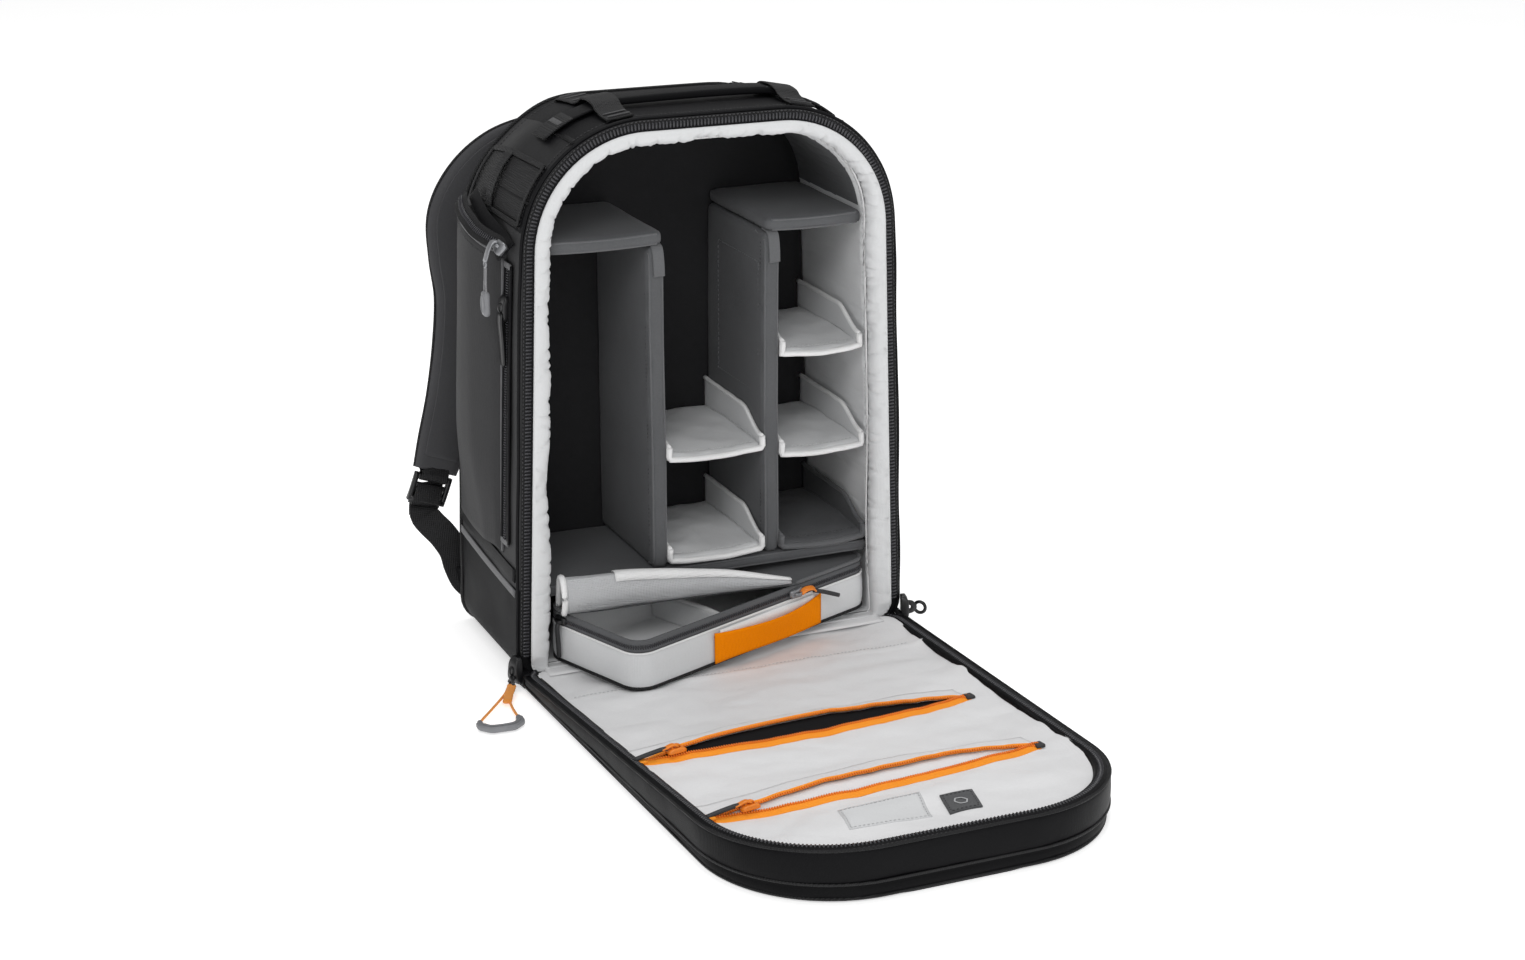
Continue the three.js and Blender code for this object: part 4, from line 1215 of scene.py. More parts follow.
def side_overlays(side):
    """The band, strip and panels sewn on a side wall."""
    left = side < 0
    word = "left" if left else "right"
    # the black band and grey strip that part the pocket from the dark lower panel
    for name, z, wide, material in (("band", 0, 11, SHELL_BLACK), ("strip", -15, 6.5, PIPING_GREY)):
        path, normals = skin_path([(y, 93 + (y + 65) * 0.068 + z, 0.2)
                                   for y in np.linspace(-68, 74, 12)], side, 6)
        sweep(f"side_{name}_{word}", path, rrect(wide, 1.3), normals, material)
    # attachment panel: a recessed window with webbing across
    grid = np.array([[skin(y, z, 0.7 - 0.4 * math.sin(math.pi * (z - 378) / 42), side)
                      for z in np.linspace(378, 420, 12)] for y in np.linspace(-60, 62, 26)])
    make(f"attachment_window_{word}", *slab(grid, 1.2 * side), WEB, slot="shell_black")
    frame_line = [(-61, 377, 1), (62, 377, 1), (62, 420, 1), (-61, 420, 1), (-61, 377, 1)]
    path, normals = skin_path(frame_line, side, 4)
    sweep(f"attachment_edge_{word}", path, rrect(4.5, 1.4), normals, WEB)
    path, normals = skin_path([(8, 377, 1.2), (8, 388, 2.4), (8, 410, 2.4), (8, 420, 1.2)],
                              side, 3)
    sweep(f"attachment_web_{word}", path, rrect(13, 1.5), normals, WEB, slot="web_black")


def side_zips():
    """The zip over the left pocket's mouth and the upright one beside the pocket."""
    # zip over the left pocket's mouth, sloping with its upper edge
    mouth = []
    for y in np.linspace(-58, 44, 24):
        t = (y + 40.5) / 106.5
        out = pocket_bulge(min(max(t, 0.02), 0.98), 1) if 0 < t < 1 else 3.2
        beak = 8.5 * float(smooth(-30, -52, y))
        mouth.append((y, pocket_edge(y) + 5.0, max(3.0, out - 1.5, beak)))
    path, normals = skin_path(mouth, -1, 4)
    lean = normals * 0.75 + np.array([0, 0, 0.65])
    tape = sweep("side_zip_top_tape", path, rrect(13, 1.4), lean, TAPE, slot="shell_grey")
    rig.replaces(tape, "side_zip_top")
    zip_teeth("side_zip_top_teeth", path + normalise(lean) * 1.3, lean, 4.2, TEETH, high=1.2)
    # the tape's free edge is sewn to the wall above
    path, normals = skin_path([(y, z + 5, max(1, o * 0.4)) for y, z, o in mouth], -1, 5)
    sweep("side_zip_top_flange", path, rrect(10, 1.2), normals * 0.8 + [0, 0, 0.6], SHELL_BLACK)
    # upright zip beside the pocket
    line = [(-47, 118, 0.4), (-47, 230, 0.5), (-47, 342, 0.4)]
    path, normals = skin_path(line, -1, 4)
    tape = sweep("side_zip_front_tape", path, rrect(16, 1.3), normals, TAPE, slot="zip_black")
    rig.replaces(tape, "side_zip_front")
    zip_teeth("side_zip_front_teeth", path + normals * 1.2, normals, 5.4, TEETH, high=1.4)
    for k, y in enumerate((-54.5, -39.8)):
        path, normals = skin_path([(y, 116, 0.9), (y, 344, 0.9)], -1, 4)
        sweep(f"side_zip_front_lip_{k}", path, rrect(5.4, 1.9), normals, SHELL_DARK)
        stitches(f"side_zip_front_stitches_{k}", path + normals * 1.6, normals, THREAD_DARK)
    for k, z in enumerate((116, 343)):
        path, normals = skin_path([(-55, z, 1.4), (-39, z, 1.4)], -1, 2)
        sweep(f"side_zip_front_stop_{k}", path, rrect(5, 1.5), normals, PIPING_GREY)


def slider_solid(centre, along, out, long=10, wide=9, high=4.5):
    """A zip slider: waisted body with a bridge. Verts and faces."""
    along = np.asarray(along, float) / np.linalg.norm(along)
    out = np.asarray(out, float) / np.linalg.norm(out)
    path = np.asarray(centre, float) + along * np.linspace(-long / 2, long / 2, 9)[:, None]
    widths = wide * np.array([0.55, 0.72, 0.8, 0.82, 0.86, 0.92, 1.0, 1.0, 0.82])
    profile = np.array([rrect(w, high * k, 1.0) for w, k in zip(widths,
                       (0.6, 0.85, 0.95, 1, 1, 1, 0.95, 0.85, 0.6))])
    body = rings_to_solid(sweep_rings(path, profile, out))
    arch_path = np.array([centre + along * a + out * (high + b) for a, b in
                          ((-3.6, -0.8), (-3, 1.2), (-1, 2.2), (1, 2.2), (3, 1.2), (3.6, -0.8))])
    bridge = rings_to_solid(sweep_rings(spline(arch_path, 3), rrect(2.6, 1.1, lift=-0.5), out))
    return weld(body, bridge)


def stick_pull(name, path, up, body, width=4.2, thick=2.6):
    """A moulded stick on a fabric loop."""
    sweep(name, resample(spline(path, 6), 2), rrect(width, thick, lift=-thick / 2), up, RUBBER,
          body)


def hardware():
    """The sliders of the main zip and of the side zips, with their pulls."""
    # main sliders at the opening's feet
    for side, word in ((-1, "left"), (1, "right")):
        c = np.array([side * 171.9, -74.5, 16.0])
        n = np.array([side * 0.94, -0.34, 0.0])
        solid = slider_solid(c, (0.03 * side, 0, -1), n, 22, 13, 7)
        parts = [solid]
        if side > 0:
            hook = sweep_rings(spline([c + n * 6 + [0, 0, 4], c + n * 9.5 + [0, 0, 3.4],
                                       c + n * 12 + [0, 0, 0], c + n * 10 + [0, 0, -3],
                                       c + n * 6 + [0, 0, -4]], 5), rrect(4.6, 2.0, lift=-1), UP_Y)
            parts.append(rings_to_solid(hook))
        if side < 0:
            eye = np.array([-181.6, -85.4, 9.0])
            ring = eye + np.array([[0.3 * math.sin(a), 4.4 * math.cos(a), 3.2 * math.sin(a)]
                                   for a in turn_angles(16)])
            parts.append(rings_to_loop(sweep_rings(ring, circle(1.3, 8), UP_X, closed=True)))
            bar = sweep_rings(resample([c + n * 4 + [0, 0, -3], eye + [0, 3.4, 0]], 2),
                              rrect(5, 2.4, lift=-1.2), UP_Z)
            parts.append(rings_to_solid(bar))
        piece = make(f"main_slider_{word}_body", *weld(*parts), PLASTIC, f"main_slider_{word}",
                     "plastic_black")
        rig.replaces(piece, f"main_slider_{word}")
    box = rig.box("pull_ring_right")
    lo, hi = np.array(box[0], float) * 1000, np.array(box[1], float) * 1000
    mid = (lo + hi) / 2 - [0.5, 0, 1.6]
    turn = np.array([math.cos(math.pi / 4), math.sin(math.pi / 4), 0]) * [-1, 1, 1]
    ring = [mid + turn * 4.9 * math.cos(a) + UP_Z * 4.9 * math.sin(a)
            for a in turn_angles(24)]
    facing = np.cross(turn, UP_Z)
    piece = sweep("pull_ring_right_body", np.array(ring), circle(1.5, 10), facing, PLASTIC,
                  "main_pull_right", "plastic_black", closed=True)
    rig.replaces(piece, "pull_ring_right")
    # side pocket's slider with its metal tab
    frame_top = pocket_edge(-53) + 6
    c = skin(-53.5, frame_top + 2, 9.5)
    solid = slider_solid(c, (0, -1, -0.24), (-0.75, 0, 0.66), 15, 10.5, 5)
    tab = sweep_rings(spline([c + [-3.6, 0, 6.2], c + [-7.5, 0, 5.4], c + [-10.6, 0, 0],
                              [-182.7, -53.5, 349.5]], 5), rrect(7, 1.8, lift=-0.9), UP_X)
    hole = sweep_rings(np.array([[-182.5, -53.5 + 2.5 * math.cos(a), 347.5 + 2.6 * math.sin(a)]
                                 for a in turn_angles(16)]), circle(0.9, 8),
                       UP_X, closed=True)
    piece = make("side_slider_top_body",
                 *weld(solid, rings_to_solid(tab), rings_to_loop(hole)), PULL_METAL,
                 "side_slider_top", "plastic_grey")
    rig.replaces(piece, "side_slider_top")
    # the upright zip's slider with a long dark pull
    c, n = skin(-47, 309, 1.6), skin(-47, 309, 1) - skin(-47, 309, 0)
    solid = slider_solid(c, (0.03, 0, 1), n, 20, 11, 5)
    pull = sweep_rings(resample(spline([c + n * 5.4 + [0, 0, -4], c + n * 6 + [0, 0, -12],
                                        c + n * 5.0 + [0, 0, -30], c + n * 4.6 + [0, 0, -46]],
                                       5), 2), rrect(8.0, 2.8, lift=-1.4), n)
    piece = make("side_slider_front_body", *weld(solid, rings_to_solid(pull)), PLASTIC,
                 "side_slider_front", "plastic_black")
    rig.replaces(piece, "side_slider_front")


for side in (-1, 1):
    side_pocket(side)
    side_overlays(side)
side_zips()
hardware()


# ---------- dividers and shelves ----------
def pillow(lo, hi, r, crown, seed, cell=6.0):
    """A padded panel: rounded edges, crowned broad faces, slight lumps. Verts and faces."""
    lo, hi = np.asarray(lo, float), np.asarray(hi, float)
    size = hi - lo
    cells = np.maximum(2, np.round(size / cell)).astype(int)
    cells = np.maximum(cells, np.where(size < 20, 4, 2))
    verts, faces = soft_block(lo, hi, r, cells)
    mid = (lo + hi) / 2
    thin = int(np.argmin(size))
    rel = (verts - mid) / (size / 2)
    others = [k for k in range(3) if k != thin]
    dome = np.prod([1 - np.abs(rel[:, k]) ** 5 for k in others], axis=0)
    push = crown * dome + rumple(verts, 45, 0.35, seed)
    verts[:, thin] += np.sign(rel[:, thin]) * push
    verts += np.stack([rumple(verts, 30, 0.25, seed + k) for k in (1, 2, 3)], 1)
    return verts, faces


def divider(name, x0, x1, top, seed):
    """An upright padded wall between the compartments, with its piping and stitching."""
    verts, faces = pillow([x0, -62, 78.6], [x1, 62, top], [4.5, 4.5, 5], 0.8, seed, 4.5)
    pucker = rumple(verts, 9, 0.7, seed + 5, (1, 0.5, 1)) * smooth(-38, -58, verts[:, 1])
    verts[:, 0] += np.sign(verts[:, 0] - (x0 + x1) / 2) * pucker
    bend = 2.2 * np.sin((verts[:, 2] - 78) / (top - 78) * math.pi * 1.3 + seed)
    front = smooth(30, -62, verts[:, 1])
    verts[:, 0] += np.clip(bend * 0.5, -0.8, 0.8) * front
    piece = make(f"{name}_pad", verts, faces, DIVIDER, name, "divider_grey")
    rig.replaces(piece, name)
    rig.padded(piece, 0.7)
    cx = (x0 + x1) / 2
    zs = np.linspace(84, top - 6, 40)
    wave = 0.4 * np.clip(2.2 * np.sin((zs - 78) / (top - 78) * math.pi * 1.3 + seed), -1.6, 1.6)
    for k, dx in enumerate((-5.4, 5.4)):
        path = np.stack([cx + dx + wave, np.full(40, -60.2), zs], 1)
        path = np.vstack([[cx + dx, -50, 81], path, [cx + dx, -40, top - 2.2]])
        sweep(f"{name}_piping_{k}", resample(path, 5), circle(1.0, 8), UP_Y, DIVIDER_EDGE, name)
        row = path[1:-1] + [(-1 if dx < 0 else 1) * 1.3, 7, 0]
        stitches(f"{name}_stitches_{k}", row, [math.copysign(1, dx), 0, 0], THREAD_DARK, name)
    # a hook-and-loop panel sewn to the face beside the middle cell
    face, sign = (x0 - 0.9, -1) if x0 > 0 else (x1 + 0.9, 1)
    panel = np.array([[face, y, z] for y, z in ((-50, 215), (-50, top - 26), (34, top - 26),
                                                (34, 215), (-50, 215))], float)
    stitches(f"{name}_panel_stitches", panel, [sign, 0, 0], DIVIDER_EDGE, name, 4.2, 3.0, 0.45)
    # the upper end is folded over and closed with a tab
    tab = spline([[cx + 1, -63.2, top - 24], [cx + 0.5, -63.6, top - 12], [cx, -61, top - 1],
                  [cx, -50, top + 1.0]], 6)
    sweep(f"{name}_tab", tab, rrect(x1 - x0 - 3.5, 1.1), UP_Z * 0.6 - UP_Y, DIVIDER_EDGE, name)


def dark_shelf(name, x0, x1, z0, z1, seed, body="body", droop=0.0):
    """A padded shelf with two rows of piping along its sagging front."""
    verts, faces = pillow([x0, -62, z0], [x1, 62, z1], [5, 5, 4.5], 0.9, seed)
    mid = (x0 + x1) / 2
    u = (verts[:, 0] - mid) / ((x1 - x0) / 2)
    verts[:, 2] -= droop * (1 - u * u) * smooth(60, -62, verts[:, 1])
    piece = make(f"{name}_pad", verts, faces, DIVIDER, body, "divider_grey")
    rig.replaces(piece, name)
    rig.padded(piece, 0.7)
    xs = np.linspace(x0 + 5, x1 - 5, 24)
    us = (xs - mid) / ((x1 - x0) / 2)
    drop = droop * (1 - us * us)
    for k, z in enumerate((z0 + 1.6, z1 - 1.6)):
        path = np.stack([xs, np.full(24, -60.8), z - drop], 1)
        sweep(f"{name}_piping_{k}", path, circle(0.95, 8), UP_Y, DIVIDER_EDGE, body)


def bent_shelf(name, x0, x1, z, seed, thick=7, low=False):
    """A thin padded shelf with bound tabs turned up at both ends; its front sags.
    The lowest on the right is grey, the others are pale."""
    tab = 26
    edging = DIVIDER_EDGE if low else BINDING_PALE
    mid, half = (x0 + x1) / 2, (x1 - x0) / 2
    nx, ny = 44, 34
    top, under = np.zeros((nx, ny, 3)), np.zeros((nx, ny, 3))
    length = 2 * half + 2 * tab
    for i in range(nx):
        s = -length / 2 + length * i / (nx - 1)
        over = abs(s) - half
        for j in range(ny):
            y = -62 + 124 * j / (ny - 1)
            front = float(smooth(40, -62, y))
            sag = 2.6 * front * max(0, 1 - (s / half) ** 2)
            t = thick * (0.55 + 0.45 * math.sin(math.pi * min(1, max(0, (y + 62) / 124))) ** 0.4)
            if over <= 0:
                top[i, j] = (mid + s, y, z + t - sag)
                under[i, j] = (mid + s, y, z - sag + 0.4)
            else:
                side = math.copysign(1, s)
                full = tab * (0.4 + 0.6 * float(smooth(-60, -20, y)))
                rise = min(over, tab) * full / tab
                lean = 1.2 * front * math.sin(rise / tab * 2)
                top[i, j] = (mid + side * (half - 2.9 - lean), y, z + 3 + rise)
                under[i, j] = (mid + side * (half - 0.5 - 0.4 * lean), y, z + 0.5 + rise)
            if j in (0, ny - 1):
                both = (top[i, j] + under[i, j]) / 2
                for point in (top[i, j], under[i, j]):
                    point[:] = both + (point - both) * 0.6
    bumps = (rumple(top, 22, 1.0, seed) + rumple(top, 10, 0.35, seed + 3)).reshape(nx, ny)
    top[..., 2] += bumps
    piece = make(f"{name}_pad", *between(top, under), DIVIDER if low else PALE, name,
                 "divider_grey" if low else "lining_pale")
    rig.replaces(piece, name)
    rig.padded(piece, 0.4)
    edge = (top[:, 0] + under[:, 0]) / 2
    sweep(f"{name}_front_binding", resample(edge, 4), circle(2.5, 10, 1.25), UP_Y, edging, name)
    for k, i in enumerate((0, nx - 1)):
        path = (top[i] + under[i]) / 2
        sweep(f"{name}_end_binding_{k}", resample(path, 5), circle(1.9, 8), UP_Z, edging, name)
    row = np.array([[x, -55, z + thick * 0.85 - 2.5 * max(0, 1 - ((x - mid) / half) ** 2)]
                    for x in np.linspace(x0 + 6, x1 - 6, 20)])
    stitches(f"{name}_stitches", row + [0, 0, 0.9], UP_Z, THREAD_DARK if low else THREAD_PALE, name)


WALL_IN = 22.0  # thickness of the padded wall
divider("divider_left", -50, -37, 350, 1.0)
divider("divider_right", 50, 63, 352, 2.0)
floor_x = x_at(78) - WALL_IN - 0.5
dark_shelf("base_shelf", -floor_x, floor_x, 68, 78, 4.0)
top_x = x_at(366) - WALL_IN - 1
dark_shelf("shelf_top_left", -top_x, -38, 351, 362, 5.0, "shelf_top_left", 1.5)
dark_shelf("shelf_top_right", 51, top_x, 353, 364, 6.0, "shelf_top_right", 1.5)
for name, x0, x1, z in (("shelf_mid_upper", -36.7, 49.7, 170), ("shelf_mid_lower", -36.7, 49.7, 82),
                        ("shelf_right_upper", 63.3, x_at(330) - WALL_IN - 1.5, 248),
                        ("shelf_right_mid", 63.3, x_at(240) - WALL_IN - 1.5, 162),
                        ("shelf_right_low", 63.3, x_at(150) - WALL_IN - 1.5, 80)):
    low = name == "shelf_right_low"
    bent_shelf(name, x0, x1, z, z * 0.1, 9 if low else 7, low)


# ---------- front flap ----------
def flap_edge(inset, low=0.0):
    """The flap's outline at an inset, as (x, length from the hinge)."""
    line = arch(inset, HINGE_Z + 1.5 + low) - [0, HINGE_Z]
    length = np.concatenate([[0], np.cumsum(np.linalg.norm(np.diff(line, axis=0), axis=1))])
    at = np.linspace(0, length[-1], 221)
    return np.stack([np.interp(at, length, line[:, k]) for k in (0, 1)], 1)


def flap_rim_height(length):
    """Height over the floor where the flap's zip runs."""
    return HINGE_Z + math.tan(FLAP_RISE) * np.asarray(length, float)


def flap_shell():
    """The black side band: a smooth upper tier, a welt, and a tucked-in lower tier."""
    profile = [(1.0, 9.5), (1.0, 4.2), (0.985, 2.0), (0.95, 0.8), (0.88, 0.2), (0.78, 0.0),
               (0.66, 0.0), (0.52, 0.3), (0.4, 0.9), (0.34, 2.0), (0.31, 4.4), (0.28, 5.0),
               (0.22, 4.0), (0.15, 3.4), (0.09, 3.6), (0.05, 4.6), (0.02, 7), (0.02, 12),
               (0.3, 13), (0.9, 13)]
    rings = []
    for t, inset in profile:
        xl = flap_edge(inset)
        z = flap_rim_height(xl[:, 1]) * t - 0.35 * (t > 0.95)
        rings.append(over_floor(xl[:, 0], z, xl[:, 1]))
    rings = np.array(rings)
    flat = rings.reshape(-1, 3)
    away = normalise((flat - [0, -300, 0]) * [1, 1, 0])
    flat += away * (rumple(flat, 60, 0.7, 2.0) + rumple(flat, 22, 0.25, 4.0))[:, None]
    flat[:, 2] = np.maximum(flat[:, 2], 0.2)
    n, m, _ = rings.shape
    faces = grid_faces(n, m, closed_u=True)
    faces += [[i * m for i in range(n)], [i * m + m - 1 for i in range(n)][::-1]]
    piece = make("flap_band", flat, faces, FLAP_BLACK, "flap", "shell_black")
    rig.replaces(piece, "flap_gusset")
    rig.padded(piece, 0.5)
    for name, t, inset, r in (("middle", 0.345, 1.2, 1.2), ("upper", 0.955, 0.6, 0.9),
                              ("lower", 0.05, 4.2, 1.3)):
        xl = flap_edge(inset, 2)
        path = over_floor(xl[:, 0], flap_rim_height(xl[:, 1]) * t, xl[:, 1])
        sweep(f"flap_piping_{name}", resample(path, 5), circle(r, 8), UP_Z, WEB, "flap")


def flap_fill(inset, nu=44, nv=60):
    """A grid over the flap's face: x and length from the hinge, even at the corners."""
    edge = flap_edge(inset)
    right = edge[edge[:, 0] > 0][::-1]
    right = right[np.argsort(right[:, 1])]
    v = np.linspace(0, 1, nv)
    low, high = right[0, 1], right[-1, 1]
    length = low + (high - low) * (0.62 * v + 0.38 * np.sin(v * math.pi / 2))
    half = np.interp(length, right[:, 1], right[:, 0])
    s = np.linspace(-1, 1, nu)
    return s[:, None] * half[None, :], np.broadcast_to(length, (nu, nv)).copy()


def flap_front():
    """The bag's front face: a plain panel with a welted seam and a low pocket."""
    x, length = flap_fill(4.0)
    upper = over_floor(x, 3.9, length)
    edge = np.minimum(1, 6 * (1 - np.abs(x) / np.abs(x).max(0)))
    low = over_floor(x, 0.15, length)
    seam = np.exp(-((length - 300) / 2.5) ** 2) + np.exp(-((length - 118) / 2.5) ** 2)
    low[..., 2] += 0.9 * seam + 0.5 * (1 - edge)
    piece = make("flap_front_panel", *between(upper, low), SHELL_BLACK, "flap", "shell_black")
    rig.replaces(piece, "flap_front")
    for k, at in enumerate((118, 300)):
        half = x_at(at + 12) - 12
        row = over_floor(np.linspace(-half, half, 50), 0.85, at + 5.0)
        stitches(f"flap_front_stitches_{k}", row, -UP_Z, THREAD_DARK, "flap")


def zip_frame(name):
    """Middle of a lining pocket's zip and its direction, in the flap's x and length."""
    centre, half = FLAP_ZIPS[name]
    run = np.array([math.cos(ZIP_TURN), -math.sin(ZIP_TURN)])
    return np.array([-11.0, centre]), run, half


def zip_belly(t):
    """How far a gaping zip has opened, from 0 at its left end to 1 and back."""
    return np.sin(np.pi * np.clip(t * 1.02, 0, 1)) ** 0.75


def zip_gap(s, size):
    """How wide a lining pocket's zip gapes, at a distance along it."""
    t = np.clip((s + size) / (2 * size), 0, 1)
    return 1.6 + 21 * zip_belly(t) * (0.82 + 0.36 * t)


def lining_height(x, length):
    """Height of the flap's lining under the zip's plane, with folds and soft bellies."""
    h = np.full(np.shape(x), -4.9)
    flat = np.stack([x.ravel(), length.ravel(), 0 * x.ravel()], 1)
    creases = np.abs(rumple(flat, 46, 1.0, 6.5, (0.6, 1.3, 1))) ** 0.5
    h += (rumple(flat, 90, 1.5, 1.5, (1, 1.6, 1)) + rumple(flat, 38, 1.1, 2.5, (0.7, 1.5, 1))
          + rumple(flat, 17, 0.5, 3.5) + 0.9 * creases - 0.6).reshape(np.shape(x))
    half = x_at(length + HINGE_Z) - 9
    side = np.clip((half - np.abs(x)) / 16, 0, 1)
    h += 3.2 * (1 - side) ** 2
    for name in FLAP_ZIPS:
        c, run, size = zip_frame(name)
        s = (x - c[0]) * run[0] + (length - c[1]) * run[1]
        d = -(x - c[0]) * run[1] + (length - c[1]) * run[0]
        reach = np.clip(1 - (s / size) ** 2, 0, 1)
        wide = zip_gap(s, size)
        near, far = d + 0.42 * wide, d - 0.58 * wide
        h += 4.5 * reach ** 0.7 * np.where(d < 0, np.exp(-(np.minimum(near, 0) / 26) ** 2), 0)
        h += 1.9 * reach * np.exp(-((far - 20) / 20) ** 2) * (far > -2)
        inside = smooth(0, 2.5, near) * smooth(0, 2.5, -far) * (np.abs(s) < size)
        h = h * (1 - inside) - 8.2 * inside
    h += 0.9 * np.exp(-((length - 67 - 0.02 * x) / 3) ** 2)
    h += 3.6 * np.exp(-(length / 22) ** 2)
    return np.minimum(h, -0.8)


def flap_lining():
    """The flap's pale inner face."""
    x, length = flap_fill(9.3, 110, 170)
    h = lining_height(x, length)
    grid = on_flap(x, h, length)
    piece = make("flap_lining_cloth", *slab(grid, -1.2), PALE_SMOOTH, "flap", "lining_pale")
    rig.replaces(piece, "flap_lining")
    cloth_sheet(piece, grid, "stretched", ["flap_board"])
    xs = np.linspace(-146, 146, 60)
    ls = 67 + 0.02 * xs
    row = on_flap(xs, lining_height(xs, ls) + 0.35, ls - 2.4)
    stitches("flap_lining_stitches", row, UP_Z, THREAD_PALE, "flap")
    # foam board below the lining
    x, length = flap_fill(10, 30, 40)
    length = np.maximum(length, 16)
    top = on_flap(x, -9.6, length)
    low = over_floor(x, 4.3, length)
    top[..., 2] = np.maximum(top[..., 2], low[..., 2] + 0.3)
    board = make("flap_board", *between(top, low), BACK_LINING, "flap", "board_black")
    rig.replaces(board, "flap_core")


def flap_main_zip():
    """The half of the main zip on the flap's rim."""
    xl = flap_edge(4.8)
    path = resample(on_flap(xl[:, 0], -1.7, xl[:, 1]), 4)
    up = direction(on_flap, (0, 1, 0))
    tape = sweep("flap_zip_tape", path, rrect(9.4, 1.4, lift=-0.5), up, TAPE, "flap", "zip_black")
    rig.replaces(tape, "flap_zip_track")
    xl = flap_edge(7.4)
    path = resample(on_flap(xl[:, 0], -1.6, xl[:, 1]), 4)
    zip_teeth("flap_zip_teeth", path, up, 4.4, TEETH, "flap", pitch=2.9, high=2.2)
    xl = flap_edge(2.6)
    path = resample(on_flap(xl[:, 0], -1.0, xl[:, 1]), 5)
    stitches("flap_zip_stitches", path, up, THREAD_DARK, "flap")
    xl = flap_edge(10.6)
    path = resample(on_flap(xl[:, 0], -2.6, xl[:, 1]), 5)
    sweep("flap_lining_edge", path, circle(1.5, 8), up, SHELL_BLACK, "flap")


def pocket_zip(name, inner):
    """A lining pocket left gaping: the hinge-side tape stands up, the far one has dropped."""
    c, run, half = zip_frame(name)
    side = np.array([-run[1], run[0]])
    up = direction(on_flap, (0, 1, 0))
    s = np.linspace(-half, half, 70)
    t = (s + half) / (2 * half)
    belly = zip_belly(t)
    gap = zip_gap(s, half)
    ridge = 1.0 + (8.5 if name == "upper" else 7.0) * belly * (1.1 - 0.25 * t)
    ridge += 0.7 * np.sin(t * 9)
    places = {}
    for word, k, lift in (("near", -0.42, 0.6 + 0.5 * ridge), ("far", 0.58, 1.0 + 0.4 * belly)):
        xl = c + s[:, None] * run + (gap * k)[:, None] * side
        edge_xl = xl + (-3.0 if word == "near" else 3.0) * side
        places[word] = (xl, lining_height(edge_xl[:, 0], edge_xl[:, 1]) + lift)
    near_xl, near_h = places["near"]
    far_xl, far_h = places["far"]
    near = on_flap(near_xl[:, 0], near_h, near_xl[:, 1])
    far = on_flap(far_xl[:, 0], far_h, far_xl[:, 1])
    near_up = normalise(up + 0.5 * direction(on_flap, (0, 0, 1)))
    side_up = -direction(on_flap, (side[0], 0, side[1]))
    tape = sweep(f"flap_zip_{name}_near_tape", near, rrect(3.8, 1.2, lift=-0.6), near_up,
                 TAPE_ORANGE, "flap", "zip_orange")
    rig.replaces(tape, f"flap_zip_{name}")
    sweep(f"flap_zip_{name}_far_tape", far, rrect(8.0, 1.1, lift=-0.5), up - 0.35 * side_up,
          TAPE_ORANGE, "flap")
    zip_teeth(f"flap_zip_{name}_near_teeth", near + normalise(far - near) * 1.6 + up * 0.5,
              near_up, 2.0, TEETH_ORANGE, "flap", pitch=2.0, high=1.1)
    zip_teeth(f"flap_zip_{name}_far_teeth", far - normalise(far - near) * 2.6 + up * 0.6, up, 2.4,
              TEETH_ORANGE, "flap", pitch=2.0, high=1.2)
    # the pocket's inside, seen through the gap
    rows = []
    for f in np.linspace(0.06, 0.94, 8):
        xl = near_xl * (1 - f) + far_xl * f
        h = near_h * (1 - f) + far_h * f - 1.2 - 3.0 * math.sin(math.pi * f) * belly
        rest = lining_height(xl[:, 0], xl[:, 1]) + 0.3
        rows.append(on_flap(xl[:, 0], np.maximum(h, rest), xl[:, 1]))
    make(f"flap_pocket_{name}_inside", *slab(np.array(rows), 0.5), inner, "flap")
    # the lining's edge hangs from the standing tape
    rows = []
    for f in np.linspace(0, 1, 6):
        xl = near_xl - side * (3.4 + 20 * f)
        rest = lining_height(xl[:, 0], xl[:, 1])
        h = (near_h - 0.8) * (1 - f) ** 1.5 + (rest - 0.1) * (1 - (1 - f) ** 1.5)
        rows.append(on_flap(xl[:, 0], np.maximum(h, rest + 0.1 - 0.3 * f), xl[:, 1]))
    make(f"flap_pocket_{name}_lip", *slab(np.array(rows), 0.7), PALE_SMOOTH, "flap")
    # end stops
    r = direction(on_flap, (run[0], 0, run[1]))
    for word, k, material in (("left", 0, TAPE_ORANGE), ("right", -1, RUBBER)):
        mid = (near[k] + far[k]) / 2
        path = resample([mid - r * 3.5, mid + r * 3.5], 1.5)
        sweep(f"flap_zip_{name}_stop_{word}", path, rrect(9, 2.6, lift=-0.8), up, material, "flap")
    # slider near the left end
    k = 7 if name == "upper" else 8
    centre = (near[k] + far[k]) / 2 + up * 1.0
    solid = slider_solid(centre, -r, up, 15, 9, 4)
    loop = sweep_rings(spline([centre + up * 5.0 + r * 1, centre + up * 6.4 - r * 3,
                               centre + up * 5.0 - r * 8, centre + up * 4.2 - r * 12], 4),
                       rrect(4.6, 1.5, lift=-0.7), up)
    body = f"flap_slider_{name}"
    piece = make(f"{body}_body", *weld(solid, rings_to_solid(loop)), PLASTIC_ORANGE, body,
                 "zip_orange")
    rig.replaces(piece, body)
    tip = centre + up * 4.4 - r * 12
    path = spline([tip + r * 4, tip, tip - r * 11 + up * -1.6, tip - r * 22 + up * -3.6], 5)
    stick_pull(f"{body}_pull", path, up, body)


